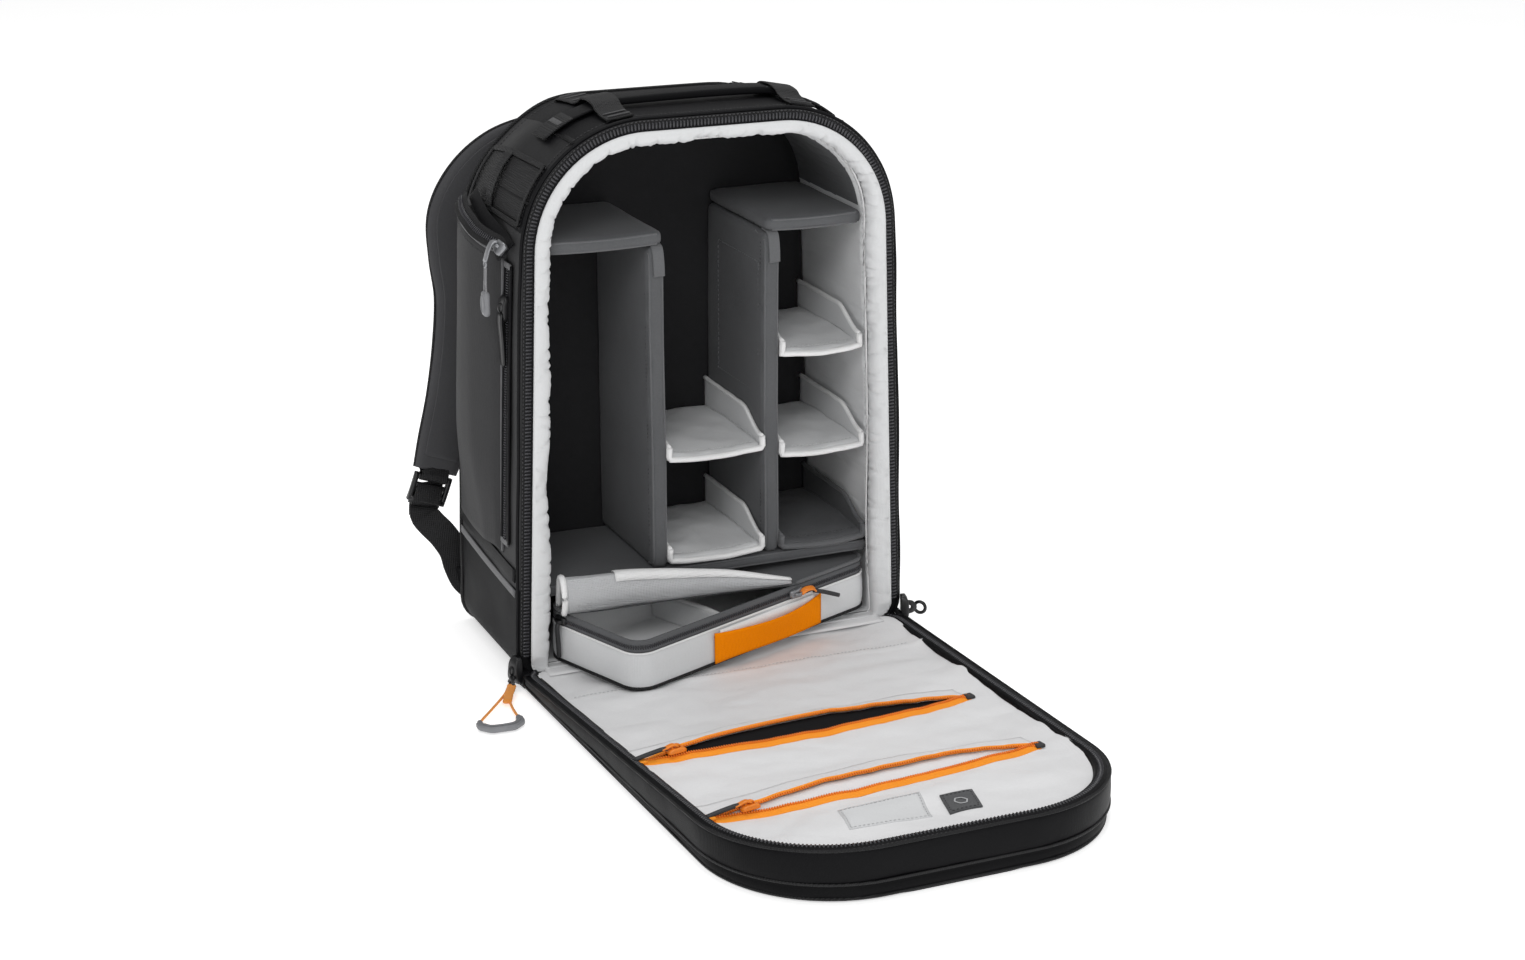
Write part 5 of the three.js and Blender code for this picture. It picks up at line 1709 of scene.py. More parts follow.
def label():
    """A plain dark patch sewn on, and a clear window pocket beside it."""
    up = direction(on_flap, (0, 1, 0))
    for name, box, h, material, slot in (
            ("label_patch_cloth", (11, 37, 378, 404), 1.1, PATCH, "divider_grey"),
            ("label_window", (-66, -2, 368, 402), 0.6, PALE, None)):
        xs, ls = np.linspace(box[0], box[1], 14), np.linspace(box[2], box[3], 14)
        x, length = np.meshgrid(xs, ls, indexing="ij")
        x = x - 0.2 * (length - 392)
        grid = on_flap(x, lining_height(x, length) + h, length)
        piece = make(name, *slab(grid, -1.4), material, "flap", slot)
        if slot:
            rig.replaces(piece, "label_patch")
        row = np.array([(box[0] + 2, box[2] + 2), (box[1] - 2, box[2] + 2),
                        (box[1] - 2, box[3] - 2), (box[0] + 2, box[3] - 2),
                        (box[0] + 2, box[2] + 2)], float)
        row = resample(np.c_[row, np.zeros(5)], 3)
        row[:, 0] -= 0.2 * (row[:, 1] - 392)
        path = on_flap(row[:, 0], lining_height(row[:, 0], row[:, 1]) + h + 0.25, row[:, 1])
        stitches(f"{name}_stitches", path, up, THREAD_DARK if slot else THREAD_PALE, "flap")
    ring = [(24 + 5 * math.cos(a), 391 + 5 * math.sin(a))
            for a in turn_angles(6)]
    row = resample(np.c_[ring, np.zeros(6)], 1.2, closed=True)
    path = on_flap(row[:, 0], lining_height(row[:, 0], row[:, 1]) + 1.35, row[:, 1])
    sweep("label_patch_mark", path, rrect(1.2, 0.4), up, PATCH_MARK, "flap", closed=True)


def hinge_cloth():
    """The lining that runs from the body's floor onto the flap, and its outer strip."""
    xs = np.linspace(-150, 150, 60)
    rows = []
    for y, z in ((-64, 11.6), (-68, 12.0), (-72, 12.2), (-75, 12.1), (-78, 11.9), (-82, 11.7),
                 (-88, 11.6)):
        wave = 0.25 * np.sin(xs / 21 + y)
        rows.append(np.stack([xs, np.full(60, float(y)), z + wave], 1))
    cover = make("hinge_lining", *slab(np.array(rows), 0.6), PALE_SMOOTH, None)
    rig.blend(cover, "body", "flap", start=(0, -0.0735, 0.012), end=(0, -0.0785, 0.012))
    rows = []
    for y, z in ((-68, 2.0), (-72, 1.6), (-75, 1.4), (-78, 1.6), (-83, 2.2)):
        rows.append(np.stack([xs, np.full(60, float(y)), np.full(60, z)], 1))
    strip = make("hinge_strip", *slab(np.array(rows), 1.0), SHELL_BLACK, None,
                 "shell_black")
    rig.replaces(strip, "hinge_gusset")
    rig.blend(strip, "body", "flap", start=(0, -0.072, 0.002), end=(0, -0.080, 0.002))
    for side, word in ((-1, "left"), (1, "right")):
        # the gusset's folded corner beside the hinge
        rows = []
        for f in np.linspace(0, 1, 7):
            y = -70 - 14 * f
            out = 170.6 - 1.2 * f
            rows.append([(side * out, y, 2.2), (side * (out + 0.8), y, 8),
                         (side * (out + 0.4), y, 13 - 1.2 * f),
                         (side * (out - 5), y, 13.6 - 1.6 * f)])
        piece = make(f"hinge_corner_{word}", *slab(np.array(rows, float), 1.2 * side),
                     SHELL_BLACK, None)
        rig.blend(piece, "body", "flap", start=(0, -0.072, 0.01), end=(0, -0.081, 0.01))


flap_shell()
flap_front()
flap_lining()
flap_main_zip()
pocket_zip("upper", SHELL_DARK)
pocket_zip("lower", PALE_SMOOTH)
label()
hinge_cloth()


# ---------- pouch ----------
P_LONG, P_DEEP, P_Z0, P_WALL, P_RIM, P_R = 264.0, 114.0, 18.8, 50.0, 60.6, 17.0
LID_Z = P_RIM + 0.3
FOLD_BACK, FOLD_FRONT = np.array([-262.0, 84.0]), np.array([-92.0, 2.0])


def pouch_loop(inset):
    """The pouch's outline in its own frame, from the middle of its front."""
    r = max(P_R - inset, 2)
    k = inset + r
    pts = [(-P_LONG / 2, inset)]
    for cx, cy, a0 in ((-k, k, -90), (-k, P_DEEP - k, 0),
                       (k - P_LONG, P_DEEP - k, 90), (k - P_LONG, k, 180)):
        pts += [(cx + r * math.cos(math.radians(a0 + a)), cy + r * math.sin(math.radians(a0 + a)))
                for a in range(0, 91, 10)]
    return resample(np.c_[pts, np.zeros(len(pts))], 5.0, closed=True)[:, :2]


def pouch_ring(count, inset):
    """The same outline in so many points."""
    loop = pouch_loop(inset)
    at = np.linspace(0, len(loop), count, endpoint=False)
    wrapped = np.vstack([loop, loop[:1]])
    return np.stack([np.interp(at, np.arange(len(wrapped)), wrapped[:, k]) for k in (0, 1)], 1)


def pouch_walls():
    """The pouch's sides and base, as one shell."""
    count = 200
    profile = [(P_WALL - 0.2, 0.4), (P_WALL - 2, -0.1), (42, -0.9), (34, -1.1), (26, -0.7),
               (21.5, -0.1), (P_Z0 + 0.4, 1.0), (P_Z0, 3.5), (P_Z0, 16), (P_Z0, 45),
               (P_Z0 + 2.6, 45), (P_Z0 + 2.6, 10), (P_Z0 + 3.6, 4.6), (30, 3.6), (44, 3.2),
               (P_WALL - 0.2, 3.0)]
    flat = np.vstack([np.c_[pouch_ring(count, inset), np.full(count, z)]
                      for z, inset in profile])
    mid = np.array([-P_LONG / 2, P_DEEP / 2, 0])
    away = normalise((flat - mid) * [1, 1, 0])
    flat += away * (rumple(flat, 40, 0.9, 6.0) + rumple(flat, 16, 0.25, 7.0))[:, None] \
        * smooth(18.9, 26, flat[:, 2])[:, None]
    verts = in_pouch(flat[:, 0], flat[:, 1], flat[:, 2])
    inner = slab(np.array([[in_pouch(-148 - 1.5 * math.cos(v / 16), v, z)
                            for z in np.linspace(P_Z0 + 2, P_WALL - 7, 8)]
                           for v in np.linspace(3, P_DEEP - 3, 24)]), 2.6)
    tray = make("pouch_tray_cloth", *weld((verts, grid_faces(len(profile), count, True, True)),
                inner), PALE, "pouch", "lining_pale")
    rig.replaces(tray, "pouch_tray")
    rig.padded(tray, 0.4)
    # the floor fills the middle of the tray
    x, y = np.meshgrid(np.linspace(-214, -50, 24), np.linspace(46, P_DEEP - 46, 8), indexing="ij")
    make("pouch_floor", *slab(in_pouch(x, y, P_Z0 + 2.4), 2.2), PALE, "pouch")
    edge = np.array([in_pouch(-148 - 1.5 * math.cos(v / 16), v, P_WALL - 6.6)
                     for v in np.linspace(3, P_DEEP - 3, 30)])
    sweep("pouch_divider_binding", edge, circle(2.3, 8), UP_Z, BINDING_PALE, "pouch")
    up = direction(in_pouch, (0, 0, 1))
    for name, inset, z, r, material in (("foot", 0.2, P_Z0 + 1.0, 1.5, WEB),
                                        ("upper", 0.0, P_WALL - 0.2, 0.9, BINDING_PALE)):
        uv = pouch_loop(inset)
        sweep(f"pouch_piping_{name}", in_pouch(uv[:, 0], uv[:, 1], z), circle(r, 8), up, material,
              "pouch", closed=True)
    # zip band round the rim
    rings = []
    for z, inset in ((P_WALL + 0.4, 0.8), (52.5, 0.1), (54.6, 0.3), (55.3, 1.0), (56.0, 0.3),
                     (58.4, 0.1), (60.2, 0.9), (60.6, 2.4), (60.2, 4.0), (P_WALL + 0.4, 4.2)):
        uv = pouch_ring(count, inset)
        rings.append(in_pouch(uv[:, 0], uv[:, 1], z))
    rim = make("pouch_rim_tape", np.array(rings).reshape(-1, 3), grid_faces(10, count, True, True),
               DIVIDER, "pouch", "divider_grey")
    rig.replaces(rim, "pouch_rim")
    uv = pouch_loop(0.5)
    path = in_pouch(uv[:, 0], uv[:, 1], 55.3)
    path = np.vstack([path, path[:1]])
    centre = in_pouch(-P_LONG / 2, P_DEEP / 2, 55.3)
    zip_teeth("pouch_zip_teeth", path, path - centre, 3.6, TEETH, "pouch", pitch=2.0, high=0.9)


def fold_frame():
    """The lid's fold: its direction, the way back from it, and its length."""
    along = FOLD_FRONT - FOLD_BACK
    length = float(np.hypot(*along))
    along = along / length
    back = np.array([-along[1], along[0]])
    return along, back, length


def pouch_lid():
    """The closed part: a grid clipped to the fold line and the rounded outline."""
    _, back, _ = fold_frame()
    nu, nv = 60, 26
    grid = np.zeros((nu, nv, 3))
    for i in range(nu):
        u = -P_LONG + 1 + (P_LONG - 2) * i / (nu - 1)
        lo, hi = 1.0, P_DEEP - 1.0
        r = P_R - 1
        for side in (-P_LONG + P_R, -P_R):
            d = (side - u) if side < -100 else (u - side)
            if d > 0:
                k = r - math.sqrt(max(0, r * r - d * d))
                lo, hi = max(lo, 1 + k), min(hi, P_DEEP - 1 - k)
        t = (u - FOLD_BACK[0]) / (FOLD_FRONT[0] - FOLD_BACK[0])
        line = FOLD_BACK[1] + t * (FOLD_FRONT[1] - FOLD_BACK[1]) + 0.8
        lo = max(lo, min(line, hi - 0.5))
        for j in range(nv):
            v = lo + (hi - lo) * j / (nv - 1)
            rel = 2 * (v - P_DEEP / 2) / P_DEEP
            belly = 1.8 * (1 - rel * rel) * (1 - (2 * (u + P_LONG / 2) / P_LONG) ** 2)
            wave = 0.8 * noise.noise(Vector((u / 40, v / 30, 3)))
            grid[i, j] = (u, v, LID_Z + 1.6 + max(-0.6, belly * 0.3 + wave))
    top = in_pouch(grid[..., 0], grid[..., 1], grid[..., 2])
    lid = make("pouch_lid_cloth", *slab(top, 1.4), [DIVIDER], "pouch", "lining_pale")
    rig.replaces(lid, "pouch_lid")
    uv = pouch_loop(1.6)
    keep = [(u, v) for u, v in uv
            if (np.array([u, v]) - FOLD_BACK) @ back > 1.5]
    order = sorted(range(len(keep)), key=lambda k: math.atan2(keep[k][1] - 20, keep[k][0] + 120))
    line = np.array([keep[k] for k in order])
    sweep("pouch_lid_binding", in_pouch(line[:, 0], line[:, 1], LID_Z + 1.4), circle(1.6, 8),
          UP_Z, DIVIDER_EDGE, "pouch")


def pouch_roll():
    """The loose part of the lid, rolled back over the fold: high at the left end."""
    along, back, length = fold_frame()
    nt = 46
    grid = np.zeros((nt, 26, 3))
    for i in range(nt):
        t = i / (nt - 1)
        left = 1 - t
        high = 2.6 + 27.0 * (1 - t ** 2.3) - 3.0 * t * left
        deep = 4 + 12.0 * (1 - t ** 2.0)
        base = FOLD_BACK + along * (length * t - 5 * left)
        for k in range(26):
            f = k / 25
            if f <= 0.4:
                a = f / 0.4
                across = -0.35 * math.sin(math.pi * a) - 0.05
                up = 0.98 * a ** 1.05
            elif f <= 0.62:
                a = (f - 0.4) / 0.22 * math.pi
                across = 0.30 - 0.35 * math.cos(a)
                up = 0.98 + 0.08 * math.sin(a) - 0.12 * (a / math.pi)
            else:
                g = (f - 0.62) / 0.38
                across = 0.65 + 0.5 * g
                up = 0.86 * (1 - g) ** 1.1 + 0.02
            wob = 0.8 * noise.noise(Vector((t * 5, f * 2, 9)))
            wob += 0.9 * noise.noise(Vector((t * 3, f * 14, 4)))
            p = base + back * (across * deep + wob * 0.6)
            grid[i, k] = (p[0], p[1], LID_Z + 2.4 + up * high + wob * 0.7)
    roll = in_pouch(grid[..., 0], grid[..., 1], grid[..., 2])
    piece = make("pouch_lid_roll", *slab(roll, 1.3), ROLL_NET, "pouch_lid_flap", "lining_pale")
    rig.replaces(piece, "pouch_lid_flap")
    end = roll[0]
    parts = [piece]
    parts.append(sweep("pouch_lid_roll_binding_end", resample(end, 3), circle(2.6, 8), UP_Z,
                       BINDING_PALE, "pouch_lid_flap"))
    edge = np.stack([roll[10:, k] for k in (8, 10, 12, 14, 16)]) + [0, 0, 1.1]
    parts.append(make("pouch_lid_roll_binding_edge", *slab(edge, 1.0), BINDING_PALE,
                      "pouch_lid_flap"))
    # the mesh's flat remainder lying on the closed lid
    rows = []
    for f in np.linspace(0, 1, 8):
        line = []
        for i in range(nt):
            t = i / (nt - 1)
            base = FOLD_BACK + along * (length * (0.04 + 0.9 * t))
            width = 9 + 24 * (1 - t) ** 0.8 if t > 0.05 else 33
            p = base + back * (5 + 10 * (1 - t) + width * f)
            p[0] = max(p[0], -P_LONG + 6)
            line.append((p[0], min(p[1], P_DEEP - 6), LID_Z + 3.2 + 0.5 * math.sin(t * 12 + f)))
        rows.append(line)
    rest = in_pouch(*np.moveaxis(np.array(rows), 2, 0))
    flat = make("pouch_lid_flat", *slab(rest, -0.8), ROLL_NET, "pouch_lid_flap")
    parts += [flat, sweep("pouch_lid_flat_binding", rest[-1], circle(1.3, 8), UP_Z, BINDING_PALE,
                          "pouch_lid_flap")]
    # the roll opens out flat as the lid is turned forward and closed
    fold = metres([in_pouch(*FOLD_BACK, LID_Z + 2.2)])[0]
    cloth_sheet(piece, roll, "folded", ["pouch_lid_cloth"], parts[1:3])
    cloth_sheet(flat, rest, "laid", ["pouch_lid_cloth"], parts[4:])
    for part in parts:
        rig.squash(part, "pouch_lid_fold", axis=(0, 0, 1), anchor=fold, keep=0.14)
        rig.squash(part, "flap_hinge", axis=(0, 0, 1), anchor=fold, keep=0.14)


def pouch_strap():
    """The orange grab strap: sewn at both ends, gaping along its upper edge."""
    us = np.linspace(-183, -62, 40)
    rows = []
    for f in np.linspace(0, 1, 10):
        t = (us + 183) / 121
        gape = np.sin(math.pi * np.clip(t, 0, 1)) ** 0.8
        out = 1.7 + (1.2 + 5.4 * f ** 1.5) * gape
        z = 20.5 + (26.5 - 3.5 * gape) * f + 0.5 * np.sin(t * 7)
        rows.append(in_pouch(us, -out, z))
    piece = make("pouch_strap_web", *slab(np.array(rows), 1.3), ORANGE_STRAP, "pouch", "zip_orange")
    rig.replaces(piece, "pouch_handle")
    out = direction(in_pouch, (0, -1, 0))
    for name, f in (("low", 0.1), ("high", 0.9)):
        k = int(round(f * 9))
        row = rows[k] + out * 0.5
        stitches(f"pouch_strap_stitches_{name}", row, out, THREAD_ORANGE, "pouch")
    for name, u in (("left", -180.5), ("right", -64.5)):
        z = np.linspace(21.5, 46, 12)
        for d in (-1.2, 1.2):
            stitches(f"pouch_strap_tack_{name}_{'ab'[d > 0]}", in_pouch(u + d, -2.9, z), out,
                     THREAD_ORANGE, "pouch")
    # the pale patch behind the gaping strap
    grid = np.array([in_pouch(us[2:-2], -1.35, z) for z in np.linspace(22, 48, 5)])
    make("pouch_strap_backing", *slab(grid, 0.6), BINDING_PALE, "pouch")


def pouch_slider():
    """The slider on the pouch's zip and the pull at the zip's end."""
    up, run, z_up = (direction(in_pouch, v) for v in ((0, -1, 0), (1, 0, 0), (0, 0, 1)))
    c = in_pouch(-90, -0.2, 55.4)
    solid = slider_solid(c, run, up, 14, 8.5, 4.0)
    piece = make("pouch_slider_body", *solid, PULL_METAL, "pouch_slider", "plastic_black")
    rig.replaces(piece, "pouch_slider")
    a = c + up * 4.6 + run * 3
    path = spline([a, a + run * 5 + z_up * 2.5 + up * 1.5, a + run * 11 + z_up * 2.0 + up * 2.5,
                   a + run * 14 - z_up * 0.5 + up * 2.5], 6)
    sweep("pouch_slider_loop", path, rrect(5.5, 1.6, lift=-0.8), up * 0.4 + z_up, PLASTIC_ORANGE,
          "pouch_slider")
    b = path[-1]
    path = spline([b - run * 2, b + run * 8 - z_up * 3.5 + up * 2,
                   b + run * 24 - z_up * 10.5 + up * 4], 6)
    stick_pull("pouch_slider_pull", path, up, "pouch_slider", 3.6, 3.0)
    # the second pull hangs at the left end
    left = -run
    c = in_pouch(-P_LONG + 0.6, 92, 55.5)
    solid = slider_solid(c, direction(in_pouch, (0, 1, 0)), left, 12, 8, 3.8)
    make("pouch_end_slider", *solid, PLASTIC, "pouch")
    path = spline([c + left * 4.5, c + left * 6 - z_up * 6, c + left * 5.5 - z_up * 20,
                   c + left * 5 - z_up * 31], 6)
    stick_pull("pouch_end_pull", path, left, "pouch", 4.0, 3.0)


ROLL_NET = cloth("lid_mesh", 0xB9BABC, 0.75, pitch=1.3, weave=0.8, mottle=0.06, sheen=0.1)
pouch_walls()
pouch_lid()
pouch_roll()
pouch_strap()
pouch_slider()


# ---------- top handle, webbing loops and shoulder straps ----------
def roof(x):
    """Height of the body's top under the handle."""
    half = half_outline(0, boxy_at(-18.0))[8:]
    return float(np.interp(-abs(x), -half[:, 0], half[:, 1]))


def handle():
    """The padded handle and the webbing and bar tacks at its ends."""
    xs = np.linspace(-112, 112, 48)
    path, profiles = [], []
    for x in xs:
        k = abs(x) / 112
        lift = 3.0 + 2.6 * (1 - k * k)
        path.append([x, -18 + 1.0 * math.sin(x / 40), roof(x) + lift - 2.2])
        held = float(smooth(0.78, 0.55, k))
        profiles.append(rrect(23 - 3 * held, 3.0 + 3.4 * held, 1.4 + 0.6 * held, 3))
    piece = sweep("top_handle_pad", np.array(path), np.array(profiles), UP_Z, SHELL_BLACK,
                  slot="shell_black")
    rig.replaces(piece, "top_handle")
    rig.padded(piece, 0.6)
    row = np.array(path)[8:-8]
    for k, dy in enumerate((-7.6, 7.6)):
        stitches(f"top_handle_stitches_{k}", row + [0, dy, 6.0], UP_Z, THREAD_DARK)
    for side in (-1, 1):
        word = "left" if side < 0 else "right"
        path = np.array([[side * (100 + 4 * k), -18, roof(100 + 4 * k) + 2.6] for k in range(7)])
        sweep(f"handle_tack_{word}", path, rrect(27, 2.2), UP_Z, WEB)
        sweep(f"handle_bartack_{word}", path[2:4] + [0, 0, 1.9], rrect(22, 1.0), UP_Z, THREAD_DARK)


def roof_loops():
    """The two long webbing loops across the top."""
    for name, x in (("handle_loop_left", -74), ("handle_loop_right", 80)):
        z = roof(x) + 1.2
        tilt = (roof(x - 11) - roof(x + 11)) / 22
        up = np.array([tilt, 0, 1])
        path = spline([[x, -66, z - 0.6], [x, -50, z], [x, -38, z + 3], [x, -32, z + 6],
                       [x, -18, z + 7.6], [x, -4, z + 6], [x, 2, z + 3], [x, 14, z],
                       [x, 40, z], [x, 54, z], [x, 60, z - 1.8]], 6)
        path = slump(path)
        piece = sweep(f"{name}_web", resample(path, 3), rrect(22, 1.9), up, WEB,
                      slot="web_black")
        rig.replaces(piece, name)
        for k, y in enumerate((-62, -52, 18, 38, 54)):
            tack = slump([[x - 9, y, z + 1.9 + 9 * tilt], [x + 9, y, z + 1.9 - 9 * tilt]])
            sweep(f"{name}_tack_{k}", resample(tack, 3), rrect(2.4, 0.9), up, THREAD_DARK)


BUCKLE = (186.5, 110.5, 113.5)
# the padded strap's middle line, with its width and thickness at each point
STRAP = [
    [62, 93.6, 410, 48, 12], [84, 106, 404, 50, 13], [109, 119, 391, 55, 14],
    [129, 128, 370, 59, 15], [142, 132, 343, 61, 15], [143, 131, 312, 60, 15],
    [141, 129, 276, 58, 15], [147, 125, 234, 55, 14], [158, 120, 191, 50, 13],
    [172, 115, 152, 44, 12], [181, 112, 128, 38, 9],
]
WEBBING = [
    [192.2, 110.5, 98], [193, 109, 91], [188, 105, 83], [179, 100, 73], [171, 98, 60],
    [168, 97, 46], [163, 94, 32], [152, 89, 22],
]


def shoulder_strap(side):
    """A padded strap with its edging, stitching and buckle."""
    word = "left" if side < 0 else "right"
    body = f"strap_{word}"
    table = np.array(STRAP, float)
    table[:, 0] *= side
    line = spline(table[:, :3], 8)
    sizes = spline(np.c_[table[:, 3:], np.zeros(len(table))], 8)
    profiles = []
    for w, t, _ in sizes:
        pts = []
        for a in turn_angles(28):
            c, s = math.cos(a), math.sin(a)
            pts.append((w / 2 * math.copysign(abs(c) ** 0.45, c),
                        t / 2 * math.copysign(abs(s) ** 0.7, s)))
        profiles.append(pts)
    rings = sweep_rings(line, np.array(profiles), UP_Y)
    flat = rings.reshape(-1, 3)
    flat[:, 1] += rumple(flat, 26, 0.7, 5.0 * side)
    flat[:, 0] += rumple(flat, 60, 0.6, 6.0)
    piece = make(f"shoulder_strap_{word}_pad", *rings_to_solid(rings), STRAP_GREY, body,
                 "shell_grey")
    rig.replaces(piece, f"shoulder_strap_{word}")
    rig.padded(piece, 0.6)
    across, out = frames(line, UP_Y)
    for k, s in enumerate((-1, 1)):
        path = line + across * (sizes[:, :1] / 2 - 0.2) * s
        sweep(f"strap_{word}_piping_{k}", path, circle(1.4, 8), UP_Y, WEB, body)
        row = (line + across * (sizes[:, :1] / 2 - 5.5) * s
               + out * (sizes[:, 1:2] / 2 - 0.3))[6:-6]
        stitches(f"strap_{word}_stitches_{k}", row, out[6:-6], THREAD_DARK, body)
    # a daisy chain of webbing down the strap's face, with the sternum strap's rail
    face = line + out * (sizes[:, 1:2] / 2 + 0.2)
    sweep(f"strap_{word}_web", face[10:], rrect(20, 1.6), out[10:], WEB, body)
    for k, i in enumerate(range(14, len(face) - 6, 9)):
        path = np.array([face[i] - across[i] * 9, face[i] + across[i] * 9]) + out[i] * 1.6
        sweep(f"strap_{word}_tack_{k}", resample(path, 3), rrect(2.4, 0.9),
              np.broadcast_to(out[i], (len(resample(path, 3)), 3)), THREAD_DARK, body)
    # sternum strap slider and its short end
    i = 38
    c = face[i] + out[i] * 1.9
    verts = sweep_rings(resample([c - across[i] * 15, c + across[i] * 15], 3), rrect(11, 4.0),
                        np.broadcast_to(out[i], (11, 3)))
    make(f"sternum_slider_{word}", *rings_to_solid(verts), PLASTIC, body)
    # the front side keeps a strip of spacer mesh against the shoulder
    inner = line - out * (sizes[:, 1:2] / 2 - 0.6)
    profile = np.array([rrect(w - 12, 1.6, lift=-1.6) for w in sizes[:, 0]])
    sweep(f"strap_{word}_facing", inner[4:-4], profile[4:-4], out[4:-4], STRAP_GREY, body)
    # its top end is sewn under a reinforced tab on the back panel
    path = spline([[side * 50, 88.0, 411], [side * 56, 93, 411], [side * 64, 100.5, 409.6],
                   [side * 74, 108, 407.2], [side * 82, 112.5, 405]], 5)
    root = sweep(f"strap_{word}_root", path, rrect(51, 3.0, lift=-1.5), UP_Y, WEB, None)
    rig.blend(root, "body", body, start=(side * 0.052, 0.089, 0.411),
             end=(side * 0.064, 0.1, 0.41))
    # load lifter from the body's top to the strap
    path = spline([[side * 66, 88.0, 432], [side * 78, 101, 426], [side * 92, 116, 413],
                   [side * 103, 127, 400]], 6)
    lifter = sweep(f"load_lifter_{word}", resample(path, 3), rrect(19, 1.7), UP_Y, WEB, None)
    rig.blend(lifter, "body", body, start=(side * 0.066, 0.088, 0.432),
             end=(side * 0.098, 0.121, 0.407))
    ladder_lock(side, word, body)
    lower_webbing(side, word, body)


def ladder_lock(side, word, body):
    """A two-bar buckle; the padded strap's loop holds its upper bar."""
    c = np.array(BUCKLE) * [side, 1, 1]
    lean = -0.34 * side
    ex = np.array([math.cos(lean), 0, -math.sin(lean)])
    ez = np.array([math.sin(lean), 0, math.cos(lean)])
    parts = []
    for k in (-1, 1):
        rail = np.array([c + ex * 15 * k + ez * z + [0, y, 0] for z, y in
                         ((-13, 1.5), (-8, 0.5), (0, 0), (8, 0), (12, 0))])
        parts.append(rings_to_solid(sweep_rings(rail, rrect(4.2, 5.2, 1.4, lift=-2.6), UP_Y)))
    for z, thick, tall in ((-11, 5.4, 4.6), (1.6, 4.2, 4.4), (9.6, 4.8, 4.6)):
        bar = resample([c - ex * 16 + ez * z, c + ex * 16 + ez * z], 4)
        parts.append(rings_to_solid(sweep_rings(bar, rrect(tall, thick, 1.4, lift=-thick / 2),
                                                UP_Y)))
    low = c - ez * 14 + [0, 3.2, 0]
    lip = resample([low - ex * 14, low + ex * 14], 4)
    parts.append(rings_to_solid(sweep_rings(lip, rrect(5, 2.2, lift=-1.1), UP_Y)))
    piece = make(f"ladder_lock_{word}_frame", *weld(*parts), PLASTIC, body, "plastic_black")
    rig.replaces(piece, f"ladder_lock_{word}")
    # the sewn loop of webbing from the strap's end round the upper bar
    top = np.array([side * 182, 112, 133])
    path = spline([top + [0, 3.4, 0], c + ez * 15 + [0, 3.8, 0], c + ez * 9.6 + [0, 3.4, 0],
                   c + ez * 6.4, c + ez * 9.6 + [0, -3.4, 0],
                   c + ez * 15 + [0, -3.6, 0], top + [0, -3.6, 0]], 5)
    path = resample(path, 2)
    sweep(f"ladder_loop_{word}", path, rrect(24, 1.5, lift=-0.7), np.cross(tangents(path), ex),
          WEB, body)


def lower_webbing(side, word, body):
    """The webbing from the buckle down to the body's foot; it follows the strap's swing."""
    line = resample(spline(np.array(WEBBING) * [side, 1, 1], 8), 3)
    across = normalise(np.cross(tangents(line), UP_Y))
    t = np.linspace(0, 1, len(line))
    line = line + across * (0.6 * np.sin(t * 9))[:, None]
    piece = sweep(f"lower_webbing_{word}_strap", line, rrect(25, 1.8, lift=-0.9), UP_Y, WEB, None,
                  "web_black")
    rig.replaces(piece, f"lower_webbing_{word}")
    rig.blend(piece, "body", body, start=tuple(metres([line[-12]])[0]),
             end=tuple(metres([line[2]])[0]))
    # webbing threaded round the buckle's bars, with a short tail hanging from it
    path = spline([[side * 192.2, 110.5, 99], [side * 191, 108.2, 103.5],
                   [side * 188.2, 107.6, 110.5], [side * 186.0, 110.6, 118.0],
                   [side * 187.4, 114.2, 110], [side * 191.6, 115.2, 101],
                   [side * 192.6, 114.6, 90]], 5)
    sweep(f"lower_webbing_{word}_tail", resample(path, 2.5), rrect(24, 1.6, lift=-0.8), UP_Y, WEB,
          body)
    # its lower end is sewn into a fabric wing at the body's foot
    grid = []
    for f in np.linspace(0, 1, 10):
        wide = 40 * (1 - f) + 13 * f
        mid = np.array([side * (158 + 9 * f), 80 + 15.5 * f, 30 + 8 * f])
        grid.append([mid + [side * 0.15 * k, 0, k] for k in np.linspace(-wide / 2, wide / 2, 10)])
    grid = np.array(grid)
    grid[..., 1] += rumple(grid, 20, 0.6).reshape(10, 10)
    make(f"strap_wing_{word}", *slab(grid, 3.0), SHELL_DARK)


handle()
roof_loops()
for side in (-1, 1):
    shoulder_strap(side)


# ---------- hidden structure kept from the CAD ----------
def inner_structure():
    """The stiffening sheet and the bent bar behind it."""
    for node, material in (("frame_sheet", BACK_LINING), ("frame_stay", PULL_METAL)):
        cad = frame["nodes"][node]
        cad.data.materials.clear()
        cad.data.materials.append(material)


inner_structure()


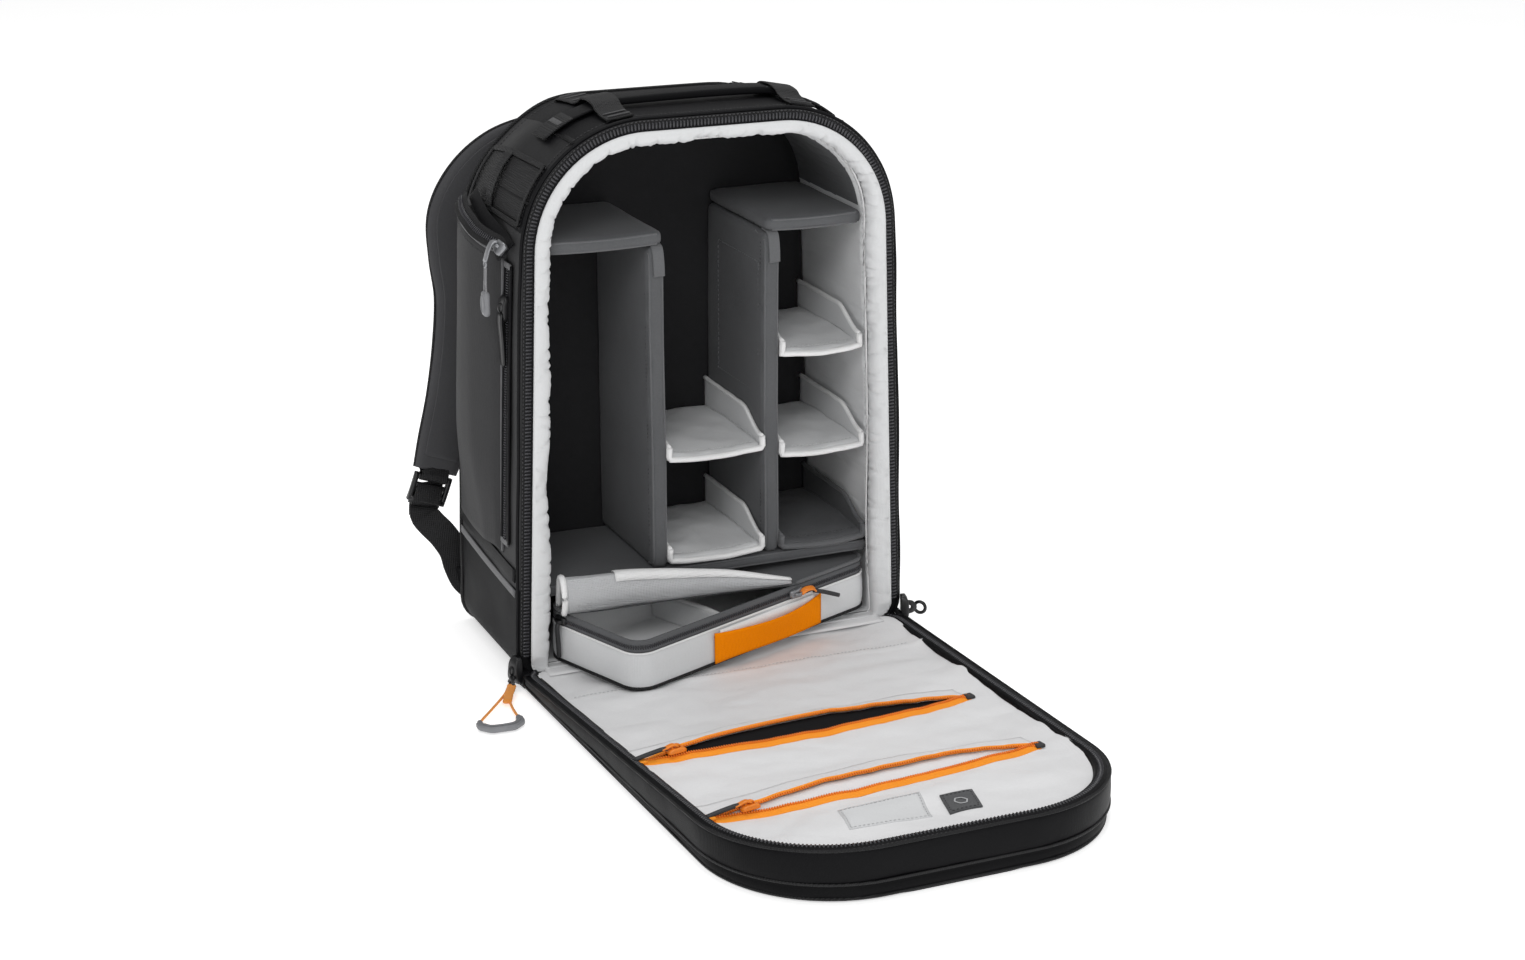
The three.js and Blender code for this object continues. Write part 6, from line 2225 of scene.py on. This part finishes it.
# ---------- floor and light ----------
def studio():
    """A pale floor just under the part, a white surrounding and four soft lights."""
    data = bpy.data.meshes.new("floor")
    half, low = 30.0, -0.0004
    data.from_pydata([(-half, -half, low), (half, -half, low), (half, half, low),
                      (-half, half, low)], [], [(0, 1, 2, 3)])
    floor = bpy.data.objects.new("floor", data)
    n = Nodes("floor_paper", 0.9, specular=0.1)
    n.link(n.ramp(n.noise(3.0), [(0.3, linear(0xFAFAFA)), (0.7, linear(0xFCFCFC))]),
           n.shader.inputs["Base Color"])
    n.shader.inputs["Emission Color"].default_value = (1, 1, 1, 1)
    n.shader.inputs["Emission Strength"].default_value = 0.5
    data.materials.append(n.material)
    bpy.context.collection.objects.link(floor)
    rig.stage(floor)
    world = bpy.data.worlds.new("studio")
    bpy.context.scene.world = world
    world.use_nodes = True
    tree = world.node_tree
    back = tree.nodes["Background"]
    back.inputs["Color"].default_value = (1, 1, 1, 1)
    path = tree.nodes.new("ShaderNodeLightPath")
    strength = tree.nodes.new("ShaderNodeMapRange")
    strength.inputs["To Min"].default_value = 0.42
    strength.inputs["To Max"].default_value = 1.0
    tree.links.new(path.outputs["Is Camera Ray"], strength.inputs["Value"])
    tree.links.new(strength.outputs["Result"], back.inputs["Strength"])
    for name, place, size, power, aim in (
            ("key", (-1.6, -2.6, 2.6), 1.4, 34, (0, -0.1, 0.2)),
            ("fill", (2.4, -2.0, 1.6), 2.0, 8, (0, -0.1, 0.2)),
            ("front", (-0.4, -3.2, 1.0), 1.6, 13, (0, 0, 0.2)),
            ("top", (0.2, 0.4, 2.8), 1.8, 34, (0, -0.1, 0.1))):
        light = bpy.data.lights.new(name, "AREA")
        light.size = size
        light.energy = power
        lamp = bpy.data.objects.new(name, light)
        lamp.location = place
        lamp.rotation_euler = (Vector(aim) - Vector(place)).to_track_quat("-Z", "Y").to_euler()
        bpy.context.collection.objects.link(lamp)
        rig.stage(lamp)
    scene = bpy.context.scene
    scene.view_settings.view_transform = "Standard"
    scene.view_settings.look = "None"


studio()

with open("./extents.json", "w") as out_file:
    json.dump({"cad": [[float(c) for c in p] for p in cad_box],
               "visual": [[float(c) for c in p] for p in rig.bounds()]}, out_file)
